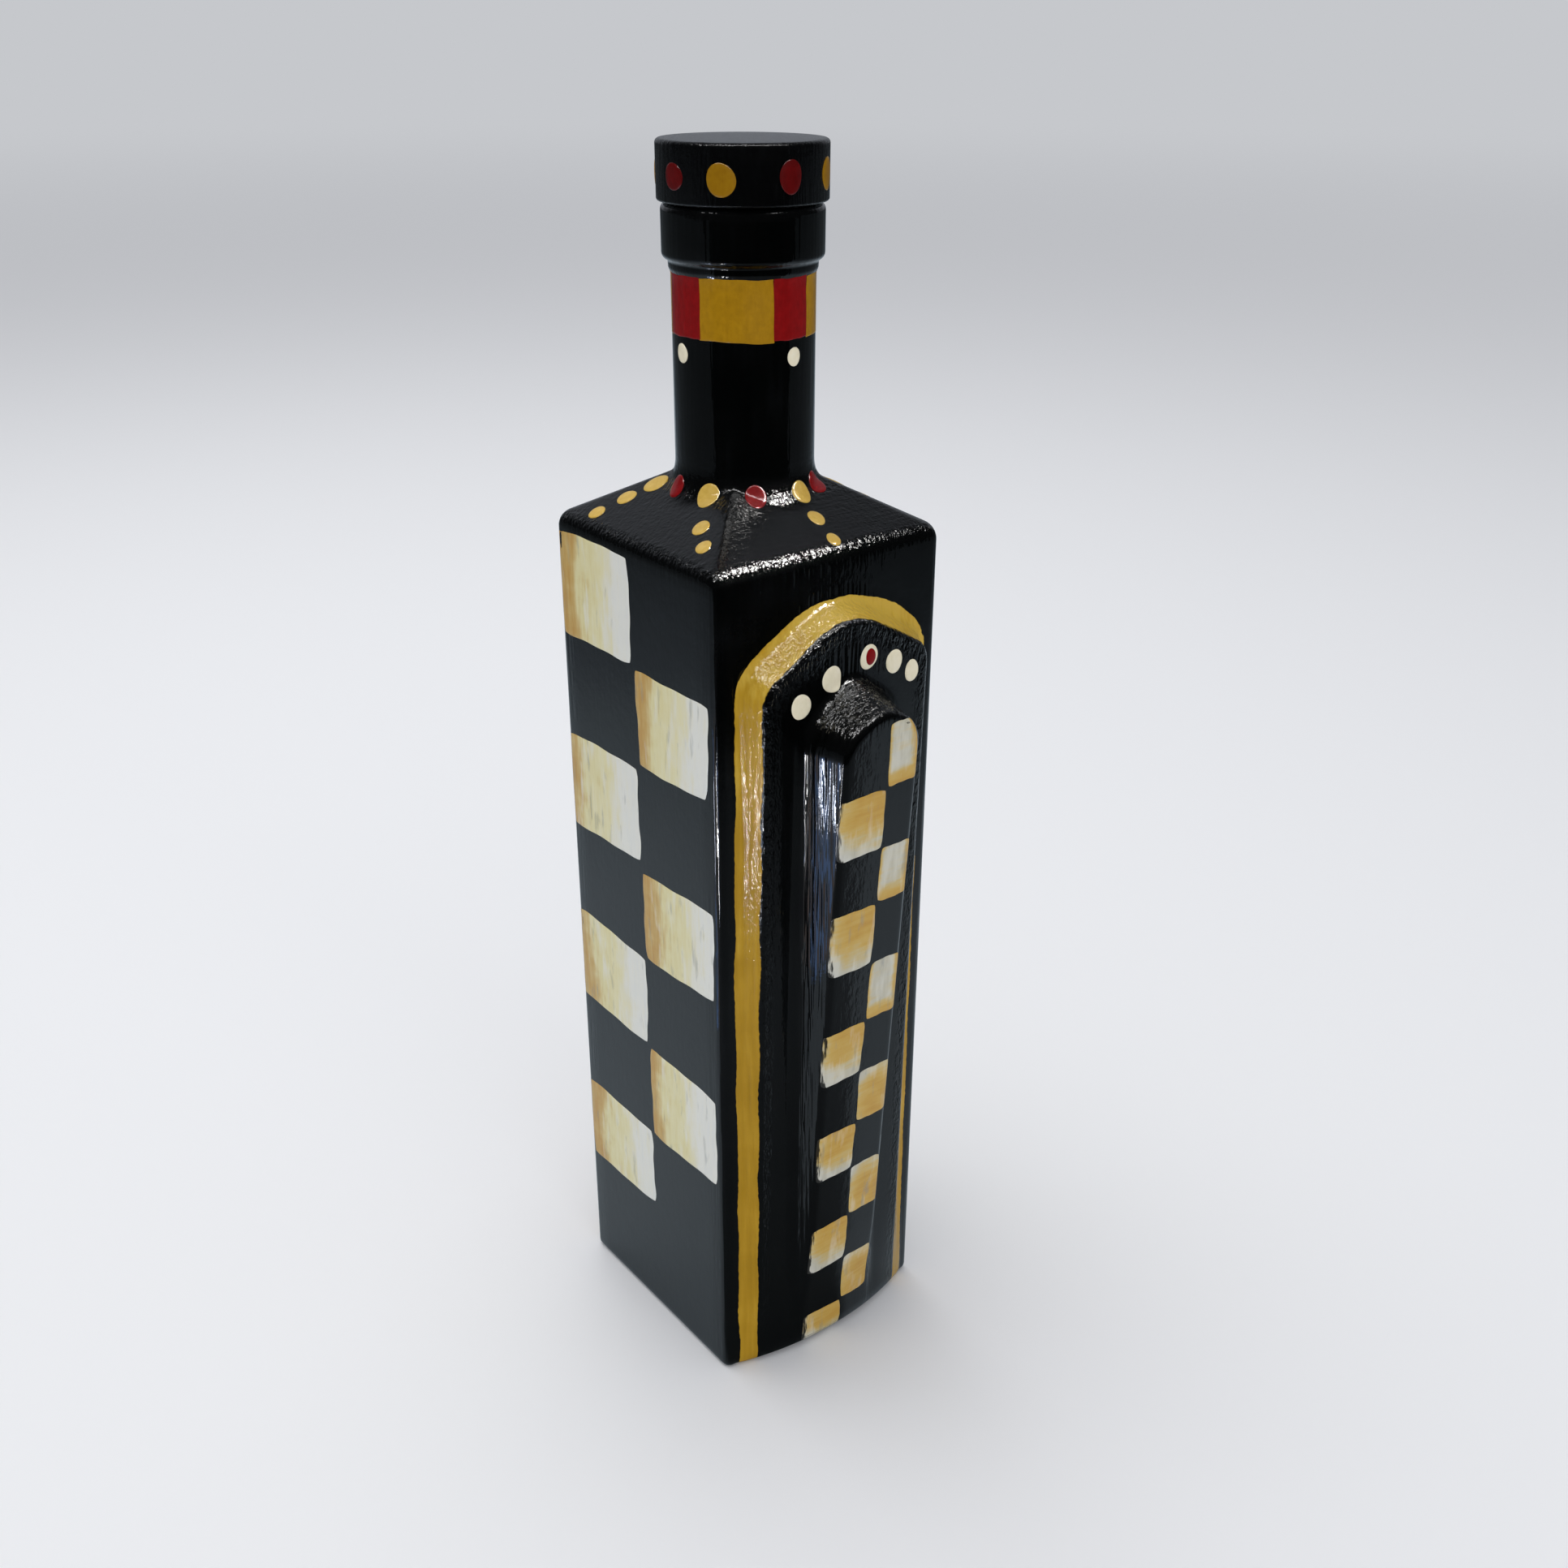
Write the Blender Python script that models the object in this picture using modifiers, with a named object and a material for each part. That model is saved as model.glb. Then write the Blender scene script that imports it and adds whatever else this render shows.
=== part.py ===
"""Square glass bottle vase with a raised rib on two faces and a bar-top stopper.

Metres, +Z up. The origin is the middle of the base, on the neck's axis. The
faces with the relief look along -Y and +Y, the plain faces along -X and +X.
"""
from math import atan, cos, degrees, hypot, pi, radians, sin, tan

import bmesh
import bpy

# Glass body: a square block up to the crease, where the sloped shoulder starts
BODY_WIDTH = 0.0665
CREASE_HEIGHT = 0.2262
SHOULDER_SLOPE = 0.566
CORNER_RADIUS = 0.0025
CREASE_SETBACK = 0.003
HEEL_RADIUS = 0.0018
WALL = 0.005
BASE_THICKNESS = 0.012
INNER_RADIUS = 0.003
BEARING_WIDTH = 0.009
PUSH_UP_DEPTH = 0.002

# Neck, and the finish ring round its mouth
NECK_RADIUS = 0.0164
NECK_LENGTH = 0.0508
NECK_FLARE_RADIUS = 0.010
BORE_RADIUS = 0.00925
MOUTH_CHAMFER = 0.0008
RING_RADIUS = 0.0184
RING_HEIGHT = 0.0121
RING_EDGE_RADIUS = 0.0016

# Raised panel, with a gabled top whose eaves and apex are rounded
ARCH_PITCH = radians(30)
PANEL_SIDE_MARGIN = 0.00905
PANEL_TOP_MARGIN = 0.0122
PANEL_DRAFT = 0.0032
PANEL_DEPTH_LOW = 0.0034
PANEL_DEPTH_HIGH = 0.0074
PANEL_SWELL = 1.8
PANEL_EAVES_RADIUS = 0.006
PANEL_APEX_RADIUS = 0.016
PANEL_EDGE_RADIUS = 0.0016
PANEL_FOOT = 0.0008
PANEL_FOOT_SPREAD = 0.002

# Rib on the panel, which stands out further the higher it goes
RIB_HALF_WIDTH = 0.0113
RIB_TOP_MARGIN = 0.0196
RIB_DRAFT = 0.0027
RIB_TOP_DRAFT = 0.0072
RIB_DEPTH_LOW = 0.0065
RIB_DEPTH_HIGH = 0.0198
RIB_SWELL = 1.0
RIB_EAVES_RADIUS = 0.009
RIB_APEX_RADIUS = 0.011
RIB_EDGE_RADIUS = 0.0022
RIB_FOOT = 0.0004
RIB_FOOT_SPREAD = 0.006

# Stopper
CAP_RADIUS = 0.0192
CAP_THICKNESS = 0.01285
CAP_RIM_RADIUS = 0.001
CAP_FOOT_RADIUS = 0.0006
SHANK_GRIP_LENGTH = 0.024
SHANK_SOCKET_DEPTH = 0.006
SHANK_CHAMFER = 0.001

# Clearances
SEAT_GAP = 0.0003
BORE_CLEARANCE = 0.0003
GLUE_GAP = 0.0003

# Mesh resolution, and the small distances that unions and cuts need
TURN_STEPS = 48
ARC_STEPS = 4
SIDE_STEPS = 6
OVERLAP = 0.002
FLARE_SINK = 0.0002
HEEL_SHARE = 0.8
LEAST_RADIUS = 0.0005
MERGE_DISTANCE = 0.00001
SHARP_ANGLE = radians(32)

# Places that follow from the sizes above
SHOULDER_ANGLE = atan(SHOULDER_SLOPE)
SLOPE_TOP = CREASE_HEIGHT + (BODY_WIDTH / 2 - NECK_RADIUS) * SHOULDER_SLOPE
RING_BOTTOM = SLOPE_TOP + NECK_LENGTH
LIP_HEIGHT = RING_BOTTOM + RING_HEIGHT
PANEL_HALF_WIDTH = BODY_WIDTH / 2 - PANEL_SIDE_MARGIN
PANEL_APEX = CREASE_HEIGHT - PANEL_TOP_MARGIN
RIB_APEX = PANEL_APEX - RIB_TOP_MARGIN


def clear_scene():
    for item in list(bpy.data.objects):
        bpy.data.objects.remove(item)


def new_collection(name):
    collection = bpy.data.collections.new(name)
    bpy.context.scene.collection.children.link(collection)
    return collection


def new_material(name, colour, roughness, metallic):
    material = bpy.data.materials.new(name)
    material.use_nodes = True
    shader = material.node_tree.nodes["Principled BSDF"]
    shader.inputs["Base Color"].default_value = (*colour, 1.0)
    shader.inputs["Roughness"].default_value = roughness
    shader.inputs["Metallic"].default_value = metallic
    return material


def new_object(name, mesh, collection):
    item = bpy.data.objects.new(name, mesh)
    collection.objects.link(item)
    return item


def mesh_from(bm, name):
    bmesh.ops.recalc_face_normals(bm, faces=bm.faces)
    mesh = bpy.data.meshes.new(name)
    bm.to_mesh(mesh)
    bm.free()
    return mesh


def apply_and_shade(item):
    """Makes the modifiers' result the object's own mesh, smooth but for its sharp edges."""
    evaluated = item.evaluated_get(bpy.context.evaluated_depsgraph_get())
    mesh = bpy.data.meshes.new_from_object(evaluated)
    item.modifiers.clear()
    item.data = mesh
    mesh.shade_smooth()
    mesh.set_sharp_from_angle(angle=SHARP_ANGLE)


def arc(centre_r, centre_z, radius, start, end, steps=ARC_STEPS):
    """Points on an arc, with its angles in degrees from the +X side."""
    angles = [radians(start + (end - start) * i / steps) for i in range(steps + 1)]
    return [(centre_r + radius * cos(a), centre_z + radius * sin(a)) for a in angles]


def turned(name, profile, collection):
    """A solid turned round Z from (radius, height) points, top to bottom."""
    mesh = bpy.data.meshes.new(name)
    edges = [(i, i + 1) for i in range(len(profile) - 1)]
    mesh.from_pydata([(r, 0.0, z) for r, z in profile], edges, [])
    item = new_object(name, mesh, collection)
    screw = item.modifiers.new("Turn", "SCREW")
    screw.steps = TURN_STEPS
    screw.render_steps = TURN_STEPS
    screw.use_merge_vertices = True
    screw.merge_threshold = MERGE_DISTANCE
    return item


def ring_edges(bm, height):
    """Edges that lie at one height."""
    return [e for e in bm.edges if all(abs(v.co.z - height) < MERGE_DISTANCE for v in e.verts)]


def round_edges(bm, edges, radius):
    bmesh.ops.bevel(
        bm, geom=edges, offset=radius, segments=ARC_STEPS, profile=0.5,
        affect="EDGES", offset_type="OFFSET", clamp_overlap=True,
    )


def square_block(name, inset, floor, tip_half, corner, crease_setback, heel, collection):
    """The body's block with its sloped shoulder, each side moved in by inset.

    The slopes end in a small square inside the neck. The heel's radius stays
    under the corner's, because the arcs round the foot would meet otherwise.
    """
    half = BODY_WIDTH / 2 - inset
    crease = CREASE_HEIGHT - inset * (1 / cos(SHOULDER_ANGLE) - SHOULDER_SLOPE)
    rise = (half - tip_half) * SHOULDER_SLOPE
    bm = bmesh.new()
    bmesh.ops.create_cube(bm, size=1.0)
    for vert in bm.verts:
        vert.co.x *= 2 * half
        vert.co.y *= 2 * half
        vert.co.z = crease if vert.co.z > 0 else floor
    top = max(bm.faces, key=lambda face: face.calc_center_median().z)
    raised = bmesh.ops.extrude_face_region(bm, geom=[top])["geom"]
    bmesh.ops.delete(bm, geom=[top], context="FACES")
    for vert in [item for item in raised if isinstance(item, bmesh.types.BMVert)]:
        vert.co.x *= tip_half / half
        vert.co.y *= tip_half / half
        vert.co.z += rise
    rings = ring_edges(bm, floor) + ring_edges(bm, crease) + ring_edges(bm, crease + rise)
    uprights = [edge for edge in bm.edges if edge not in rings]
    round_edges(bm, uprights, corner)
    round_edges(bm, ring_edges(bm, crease), crease_setback)
    round_edges(bm, ring_edges(bm, floor), min(heel, HEEL_SHARE * corner))
    return new_object(name, mesh_from(bm, name), collection)


def rounded_outline(corners):
    """Points round an outline of (x, z, radius) corners, each rounded by an arc."""
    points = []
    count = len(corners)
    for i, (x, z, radius) in enumerate(corners):
        if radius <= 0:
            points.append((x, z))
            continue
        before = corners[i - 1]
        after = corners[(i + 1) % count]
        to_before = (before[0] - x, before[1] - z)
        to_after = (after[0] - x, after[1] - z)
        u = [c / hypot(*to_before) for c in to_before]
        v = [c / hypot(*to_after) for c in to_after]
        middle = (u[0] + v[0], u[1] + v[1])
        half_cosine = hypot(*middle) / 2
        half_sine = (1 - half_cosine ** 2) ** 0.5
        reach = radius / half_sine
        centre = [c + m / (2 * half_cosine) * reach for c, m in zip((x, z), middle)]
        tangent = radius * half_cosine / half_sine
        start = (x + u[0] * tangent - centre[0], z + u[1] * tangent - centre[1])
        end = (x + v[0] * tangent - centre[0], z + v[1] * tangent - centre[1])
        turn = 2 * atan(half_cosine / half_sine)
        for step in range(ARC_STEPS + 1):
            part = turn * step / ARC_STEPS
            weight_start = sin(turn - part) / sin(turn)
            weight_end = sin(part) / sin(turn)
            points.append((
                centre[0] + start[0] * weight_start + end[0] * weight_end,
                centre[1] + start[1] * weight_start + end[1] * weight_end,
            ))
    return points


def arch_outline(half_width, apex, foot, eaves_radius, apex_radius):
    """A gabled arch: sharp at its foot, rounded at its eaves and apex, with points up its sides."""
    eaves = apex - half_width * tan(ARCH_PITCH)
    side_top = eaves - eaves_radius * tan((pi / 2 - ARCH_PITCH) / 2)
    heights = [foot + (side_top - foot) * step / SIDE_STEPS for step in range(SIDE_STEPS)]
    right = [(half_width, height, 0) for height in heights]
    left = [(-half_width, height, 0) for height in reversed(heights)]
    top = [(half_width, eaves, eaves_radius), (0, apex, apex_radius), (-half_width, eaves, eaves_radius)]
    return rounded_outline(right + top + left)


def panel_shape():
    return {
        "half_width": PANEL_HALF_WIDTH, "apex": PANEL_APEX, "foot": PANEL_FOOT,
        "draft": PANEL_DRAFT, "top_draft": PANEL_DRAFT / cos(ARCH_PITCH), "foot_spread": PANEL_FOOT_SPREAD,
        "depth_low": PANEL_DEPTH_LOW, "depth_high": PANEL_DEPTH_HIGH, "swell": PANEL_SWELL,
        "eaves_radius": PANEL_EAVES_RADIUS, "apex_radius": PANEL_APEX_RADIUS,
        "edge_radius": PANEL_EDGE_RADIUS,
    }


def rib_shape():
    return {
        "half_width": RIB_HALF_WIDTH, "apex": RIB_APEX, "foot": RIB_FOOT,
        "draft": RIB_DRAFT, "top_draft": RIB_TOP_DRAFT, "foot_spread": RIB_FOOT_SPREAD,
        "depth_low": RIB_DEPTH_LOW, "depth_high": RIB_DEPTH_HIGH, "swell": RIB_SWELL,
        "eaves_radius": RIB_EAVES_RADIUS, "apex_radius": RIB_APEX_RADIUS,
        "edge_radius": RIB_EDGE_RADIUS,
    }


def loft(rings):
    """A closed solid through rings of points that all have the same count."""
    bm = bmesh.new()
    loops = [[bm.verts.new(point) for point in ring] for ring in rings]
    for lower, upper in zip(loops, loops[1:]):
        for i in range(len(lower)):
            j = (i + 1) % len(lower)
            bm.faces.new((lower[i], lower[j], upper[j], upper[i]))
    bm.faces.new(loops[0])
    bm.faces.new(loops[-1])
    for i in range(1, SIDE_STEPS):
        bmesh.ops.connect_verts(bm, verts=[loops[-1][i], loops[-1][-1 - i]])
    return bm


def relief(name, shape, inset, floor, collection):
    """A raised shape on the -Y wall and its twin on the +Y wall, each side moved in by inset."""
    wall = BODY_WIDTH / 2 - inset

    def ring(shrink, top_grow, drop):
        outline = arch_outline(
            shape["half_width"] - inset - shrink,
            shape["apex"] - (inset + shrink) / cos(ARCH_PITCH) + top_grow,
            floor + shape["foot"] + max(0.0, shrink),
            max(shape["eaves_radius"] - inset - shrink, LEAST_RADIUS),
            max(shape["apex_radius"] - inset - shrink, LEAST_RADIUS),
        )
        points = []
        for x, z in outline:
            climb = (z / shape["apex"]) ** shape["swell"]
            depth = shape["depth_low"] + (shape["depth_high"] - shape["depth_low"]) * climb
            points.append((x, -wall - depth + drop, z))
        return points

    draft = shape["draft"]
    root = []
    for x, _, z in ring(-draft, shape["top_draft"] - draft / cos(ARCH_PITCH), 0.0):
        spread = shape["foot_spread"] * max(0.0, 1 - z / shape["apex"])
        root.append((x * (1 + spread / shape["half_width"]), -wall + OVERLAP, z))
    rings = [root]
    radius = shape["edge_radius"]
    for step in range(ARC_STEPS + 1):
        angle = pi / 2 * step / ARC_STEPS
        rings.append(ring(radius * (1 - cos(angle)), 0.0, radius * (1 - sin(angle))))
    item = new_object(name, mesh_from(loft(rings), name), collection)
    mirror = item.modifiers.new("Other face", "MIRROR")
    mirror.use_axis = (False, True, False)
    mirror.merge_threshold = MERGE_DISTANCE
    return item


def neck_outside(collection):
    """The neck with its finish ring above and its flare onto the shoulder below."""
    flare_height = SLOPE_TOP + NECK_FLARE_RADIUS * tan((pi / 2 - SHOULDER_ANGLE) / 2) - FLARE_SINK
    edge_centre = RING_RADIUS - RING_EDGE_RADIUS
    profile = [(0.0, LIP_HEIGHT)]
    profile += arc(edge_centre, LIP_HEIGHT - RING_EDGE_RADIUS, RING_EDGE_RADIUS, 90, 0)
    profile += arc(edge_centre, RING_BOTTOM + RING_EDGE_RADIUS, RING_EDGE_RADIUS, 0, -90)
    profile += [(NECK_RADIUS, RING_BOTTOM - (edge_centre - NECK_RADIUS))]
    profile += arc(
        NECK_RADIUS + NECK_FLARE_RADIUS, flare_height, NECK_FLARE_RADIUS,
        180, 270 - degrees(SHOULDER_ANGLE), 2 * ARC_STEPS,
    )
    profile += [(NECK_RADIUS, CREASE_HEIGHT), (0.0, CREASE_HEIGHT)]
    return turned("neck_outside", profile, collection)


def neck_bore(collection):
    """The bore down the neck, open at the mouth and into the shoulder."""
    slope_at_bore = CREASE_HEIGHT + (BODY_WIDTH / 2 - BORE_RADIUS) * SHOULDER_SLOPE
    bottom = slope_at_bore - WALL / cos(SHOULDER_ANGLE) - OVERLAP
    profile = [
        (0.0, LIP_HEIGHT + OVERLAP),
        (BORE_RADIUS + MOUTH_CHAMFER + OVERLAP, LIP_HEIGHT + OVERLAP),
        (BORE_RADIUS, LIP_HEIGHT - MOUTH_CHAMFER),
        (BORE_RADIUS, bottom),
        (0.0, bottom),
    ]
    return turned("neck_bore", profile, collection)


def push_up(collection):
    """The shallow hollow under the base, which leaves a flat ring to stand on."""
    width = BODY_WIDTH - 2 * BEARING_WIDTH
    bm = bmesh.new()
    bmesh.ops.create_cube(bm, size=1.0)
    for vert in bm.verts:
        slant = -2 * PUSH_UP_DEPTH if vert.co.z > 0 else 2 * OVERLAP
        vert.co.z = PUSH_UP_DEPTH if vert.co.z > 0 else -OVERLAP
        vert.co.x *= width + 2 * slant
        vert.co.y *= width + 2 * slant
    return new_object("push_up", mesh_from(bm, "push_up"), collection)


def make_bottle(parts, tools):
    bottle = square_block(
        "bottle", 0.0, 0.0, NECK_RADIUS / 2, CORNER_RADIUS, CREASE_SETBACK, HEEL_RADIUS, parts,
    )
    cavity = square_block(
        "cavity", WALL, BASE_THICKNESS, BORE_RADIUS / 2, INNER_RADIUS, INNER_RADIUS, INNER_RADIUS, tools,
    )
    inner_floor = BASE_THICKNESS + INNER_RADIUS
    joined = [
        neck_outside(tools),
        relief("panel_outside", panel_shape(), 0.0, 0.0, tools),
        relief("rib_outside", rib_shape(), 0.0, 0.0, tools),
    ]
    cut = [
        cavity,
        neck_bore(tools),
        relief("panel_inside", panel_shape(), WALL, inner_floor, tools),
        relief("rib_inside", rib_shape(), WALL, inner_floor, tools),
        push_up(tools),
    ]
    for tool in joined + cut:
        modifier = bottle.modifiers.new(tool.name, "BOOLEAN")
        modifier.operation = "UNION" if tool in joined else "DIFFERENCE"
        modifier.object = tool
        tool.hide_render = True
        tool.display_type = "WIRE"
    apply_and_shade(bottle)
    bottle.data.materials.append(new_material("gloss black paint", (0.012, 0.014, 0.016), 0.18, 0.0))


def make_stopper(parts):
    """The cap and its shank, hung on an empty at the lip, on the neck's axis."""
    seat = bpy.data.objects.new("stopper_axis", None)
    seat.location = (0.0, 0.0, LIP_HEIGHT)
    parts.objects.link(seat)
    shank_radius = BORE_RADIUS - BORE_CLEARANCE
    socket_radius = shank_radius + GLUE_GAP
    socket_top = SEAT_GAP + SHANK_SOCKET_DEPTH
    cap_top = SEAT_GAP + CAP_THICKNESS
    cap_profile = [(0.0, cap_top)]
    cap_profile += arc(CAP_RADIUS - CAP_RIM_RADIUS, cap_top - CAP_RIM_RADIUS, CAP_RIM_RADIUS, 90, 0)
    cap_profile += arc(CAP_RADIUS - CAP_FOOT_RADIUS, SEAT_GAP + CAP_FOOT_RADIUS, CAP_FOOT_RADIUS, 0, -90)
    cap_profile += [(socket_radius, SEAT_GAP), (socket_radius, socket_top), (0.0, socket_top)]
    shank_profile = [
        (0.0, socket_top - GLUE_GAP),
        (shank_radius, socket_top - GLUE_GAP),
        (shank_radius, SHANK_CHAMFER - SHANK_GRIP_LENGTH),
        (shank_radius - SHANK_CHAMFER, -SHANK_GRIP_LENGTH),
        (0.0, -SHANK_GRIP_LENGTH),
    ]
    cap = turned("stopper_cap", cap_profile, parts)
    shank = turned("stopper_shank", shank_profile, parts)
    for item in (cap, shank):
        apply_and_shade(item)
        item.parent = seat
    cap.data.materials.append(new_material("painted wood", (0.02, 0.022, 0.024), 0.35, 0.0))
    shank.data.materials.append(new_material("cork", (0.52, 0.36, 0.2), 0.85, 0.0))


def main():
    clear_scene()
    parts = new_collection("bottle_vase")
    tools = new_collection("bottle_tools")
    make_bottle(parts, tools)
    make_stopper(parts)


main()
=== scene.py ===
import math

import bpy
import numpy as np
from mathutils import Matrix, Quaternion, Vector
from mathutils.bvhtree import BVHTree


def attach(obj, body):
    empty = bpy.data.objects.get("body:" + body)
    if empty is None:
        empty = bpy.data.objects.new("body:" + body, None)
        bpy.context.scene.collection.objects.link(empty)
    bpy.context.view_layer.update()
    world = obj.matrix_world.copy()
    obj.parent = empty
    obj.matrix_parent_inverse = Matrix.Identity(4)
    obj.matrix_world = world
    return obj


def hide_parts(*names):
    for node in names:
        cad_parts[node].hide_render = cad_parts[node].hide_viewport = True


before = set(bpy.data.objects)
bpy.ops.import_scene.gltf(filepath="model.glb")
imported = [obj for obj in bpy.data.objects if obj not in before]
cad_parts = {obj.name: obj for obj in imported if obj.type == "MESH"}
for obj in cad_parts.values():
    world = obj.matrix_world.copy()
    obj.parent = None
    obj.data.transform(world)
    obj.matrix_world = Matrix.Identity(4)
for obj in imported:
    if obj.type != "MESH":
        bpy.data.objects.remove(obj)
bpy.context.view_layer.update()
mm = 0.001
print("frame loaded")


# colours and nodes

def linear(hexCode):
    channels = [int(hexCode[i:i + 2], 16) / 255 for i in (1, 3, 5)]
    return tuple(c / 12.92 if c <= 0.04045 else ((c + 0.055) / 1.055) ** 2.4 for c in channels) + (1.0,)


def addNode(tree, kind, settings=None, inputs=None, links=None, stops=None):
    # a link comes from a socket, or from a node and then from its first output
    node = tree.nodes.new("ShaderNode" + kind)
    for key, value in (settings or {}).items():
        setattr(node, key, value)
    for key, value in (inputs or {}).items():
        node.inputs[key].default_value = value
    for key, source in (links or {}).items():
        socket = source.outputs[0] if isinstance(source, bpy.types.Node) else source
        tree.links.new(socket, node.inputs[key])
    if stops:
        elements = node.color_ramp.elements
        while len(elements) < len(stops):
            elements.new(0.5)
        for element, (position, colour) in zip(elements, stops):
            element.position = position
            element.color = linear(colour)
    return node


def startMaterial(name, look):
    material = bpy.data.materials.new(name)
    material.use_nodes = True
    tree = material.node_tree
    shader = tree.nodes["Principled BSDF"]
    for key, socket in (("ior", "IOR"), ("coat", "Coat Weight"), ("coatRoughness", "Coat Roughness"),
                        ("coatIor", "Coat IOR"), ("specular", "Specular IOR Level")):
        shader.inputs[socket].default_value = look[key]
    return material, tree, shader


def stretchedNoise(tree, place, mapping, detail=3.0, roughness=0.55, distortion=0.0):
    stretch = addNode(tree, "Mapping", {}, mapping, {"Vector": place})
    noise = {"Scale": 1.0, "Detail": detail, "Roughness": roughness, "Distortion": distortion}
    return addNode(tree, "TexNoise", {}, noise, {"Vector": stretch})


shoulderStrokes = {
    "rotation": (0.3, 0.0, math.radians(35)),
    "roughness": 0.62,
    "from": (0.2235, 0.2265),   # metres up, where the strokes turn from upright to slanting
    "to": (0.240, 0.246),       # and back
}


def brushTexture(tree, shader, brush):
    # brush marks: strokes up or across, slanting on the shoulder, and dabs where the varnish pooled; real
    # bristle lines are 0.2 mm apart, too fine for the picture, so they are drawn coarser
    place = addNode(tree, "TexCoord").outputs["Object"]
    fine, coarse = 1 / (brush["strokeWidth"] * mm), 1 / (brush["strokeLength"] * mm)
    along = {"up": (fine, fine, coarse), "across": (coarse, fine, fine)}[brush.get("along", "up")]
    strokes = stretchedNoise(tree, place, {"Scale": along}, detail=brush.get("detail", 3.0))
    slanting = stretchedNoise(tree, place,
                              {"Rotation": shoulderStrokes["rotation"], "Scale": (coarse, fine, fine)},
                              roughness=shoulderStrokes["roughness"])
    height = addNode(tree, "SeparateXYZ", links={"Vector": place}).outputs["Z"]
    (lowStart, lowEnd), (highStart, highEnd) = shoulderStrokes["from"], shoulderStrokes["to"]
    above = addNode(tree, "MapRange", {}, {"From Min": lowStart, "From Max": lowEnd}, {"Value": height})
    below = addNode(tree, "MapRange", {}, {"From Min": highStart, "From Max": highEnd, "To Min": 1.0, "To Max": 0.0},
                    {"Value": height})
    shoulder = addNode(tree, "Math", {"operation": "MULTIPLY"}, {}, {0: above, 1: below})
    marks = addNode(tree, "Mix", {"data_type": "FLOAT"}, {}, {0: shoulder, 2: strokes, 3: slanting})
    dabs = addNode(tree, "TexNoise", {}, {"Scale": 1 / (brush["dabWidth"] * mm), "Detail": 3.0, "Roughness": 0.55},
                   {"Vector": place})
    strokeBump = addNode(tree, "Bump", {}, {"Strength": 1.0, "Distance": brush["strokeDepth"] * mm},
                         {"Height": marks})
    dabBump = addNode(tree, "Bump", {}, {"Strength": 1.0, "Distance": brush["dabDepth"] * mm},
                      {"Height": dabs, "Normal": strokeBump})
    last = dabBump
    if "wrinkleDepth" in brush:   # the mesh says where strokes are deep and where thick paint dried in creases
        streak = addNode(tree, "Attribute", {"attribute_name": "streak"})
        tree.links.new(streak.outputs["Fac"], strokeBump.inputs["Strength"])
        across = 1 / (brush["wrinkleWidth"] * mm)
        crinkle = stretchedNoise(tree, place, {"Scale": (across, across, brush["wrinkleSquash"] * across)},
                                 detail=2.0, roughness=0.6, distortion=0.5)
        amount = addNode(tree, "Attribute", {"attribute_name": "wrinkle"})
        last = addNode(tree, "Bump", {}, {"Distance": brush["wrinkleDepth"] * mm},
                       {"Height": crinkle, "Strength": amount.outputs["Fac"], "Normal": dabBump})
    tree.links.new(last.outputs["Normal"], shader.inputs["Normal"])
    tree.links.new(last.outputs["Normal"], shader.inputs["Coat Normal"])
    return {"place": place, "height": height, "strokes": strokes, "dabs": dabs}


# picking and shaping in edit mode

def clearPick():
    if bpy.context.object and bpy.context.object.mode != "OBJECT":
        bpy.ops.object.mode_set(mode="OBJECT")
    bpy.ops.object.select_all(action="DESELECT")


def makeActive(piece):
    clearPick()
    piece.select_set(True)
    bpy.context.view_layer.objects.active = piece


def pickVertices(piece, test):
    makeActive(piece)
    bpy.ops.object.mode_set(mode="EDIT")
    bpy.ops.mesh.select_mode(type="VERT")
    bpy.ops.mesh.select_all(action="DESELECT")
    bpy.ops.object.mode_set(mode="OBJECT")
    for vertex in piece.data.vertices:
        vertex.select = test(vertex.co)
    bpy.ops.object.mode_set(mode="EDIT")


def mergeClose(threshold):
    bpy.ops.object.mode_set(mode="EDIT")
    bpy.ops.mesh.select_all(action="SELECT")
    bpy.ops.mesh.remove_doubles(threshold=threshold)


def extrudeRings(rings, start):
    # rings and start are (radius, height) in mm; the picked loop grows through them
    radius, height = start
    for nextRadius, nextHeight in rings:
        bpy.ops.mesh.extrude_region_move(
            TRANSFORM_OT_translate={"value": (0, 0, (nextHeight - height) * mm)})
        scale = nextRadius / radius
        bpy.ops.transform.resize(value=(scale, scale, 1), center_override=(0, 0, nextHeight * mm))
        radius, height = nextRadius, nextHeight
    bpy.ops.mesh.merge(type="CENTER")


def finishShape(piece, sharpAngle):
    makeActive(piece)
    mergeClose(0.004 * mm)
    bpy.ops.mesh.normals_make_consistent(inside=False)
    bpy.ops.object.mode_set(mode="OBJECT")
    bpy.ops.object.shade_smooth_by_angle(angle=math.radians(sharpAngle))
    bpy.ops.object.transform_apply(location=True, rotation=True, scale=True)


def addMarks(piece, marks):
    # one number for each vertex, which the material reads
    for key, values in marks.items():
        layer = piece.data.attributes.new(key, "FLOAT", "POINT")
        layer.data.foreach_set("value", np.asarray(values, np.float32).reshape(-1))


def bentGrid(name, points, marks):
    # a grid primitive whose vertices are moved to points (rows, columns, 3) in mm
    rows, columns = points.shape[:2]
    clearPick()
    bpy.ops.mesh.primitive_grid_add(x_subdivisions=columns - 1, y_subdivisions=rows - 1, size=2)
    piece = bpy.context.object
    piece.name = name
    piece.data.vertices.foreach_set("co", (points * mm).reshape(-1).astype(np.float32))
    addMarks(piece, {key: np.broadcast_to(values, (rows, columns)) for key, values in marks.items()})
    piece.data.update()
    return piece


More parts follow.
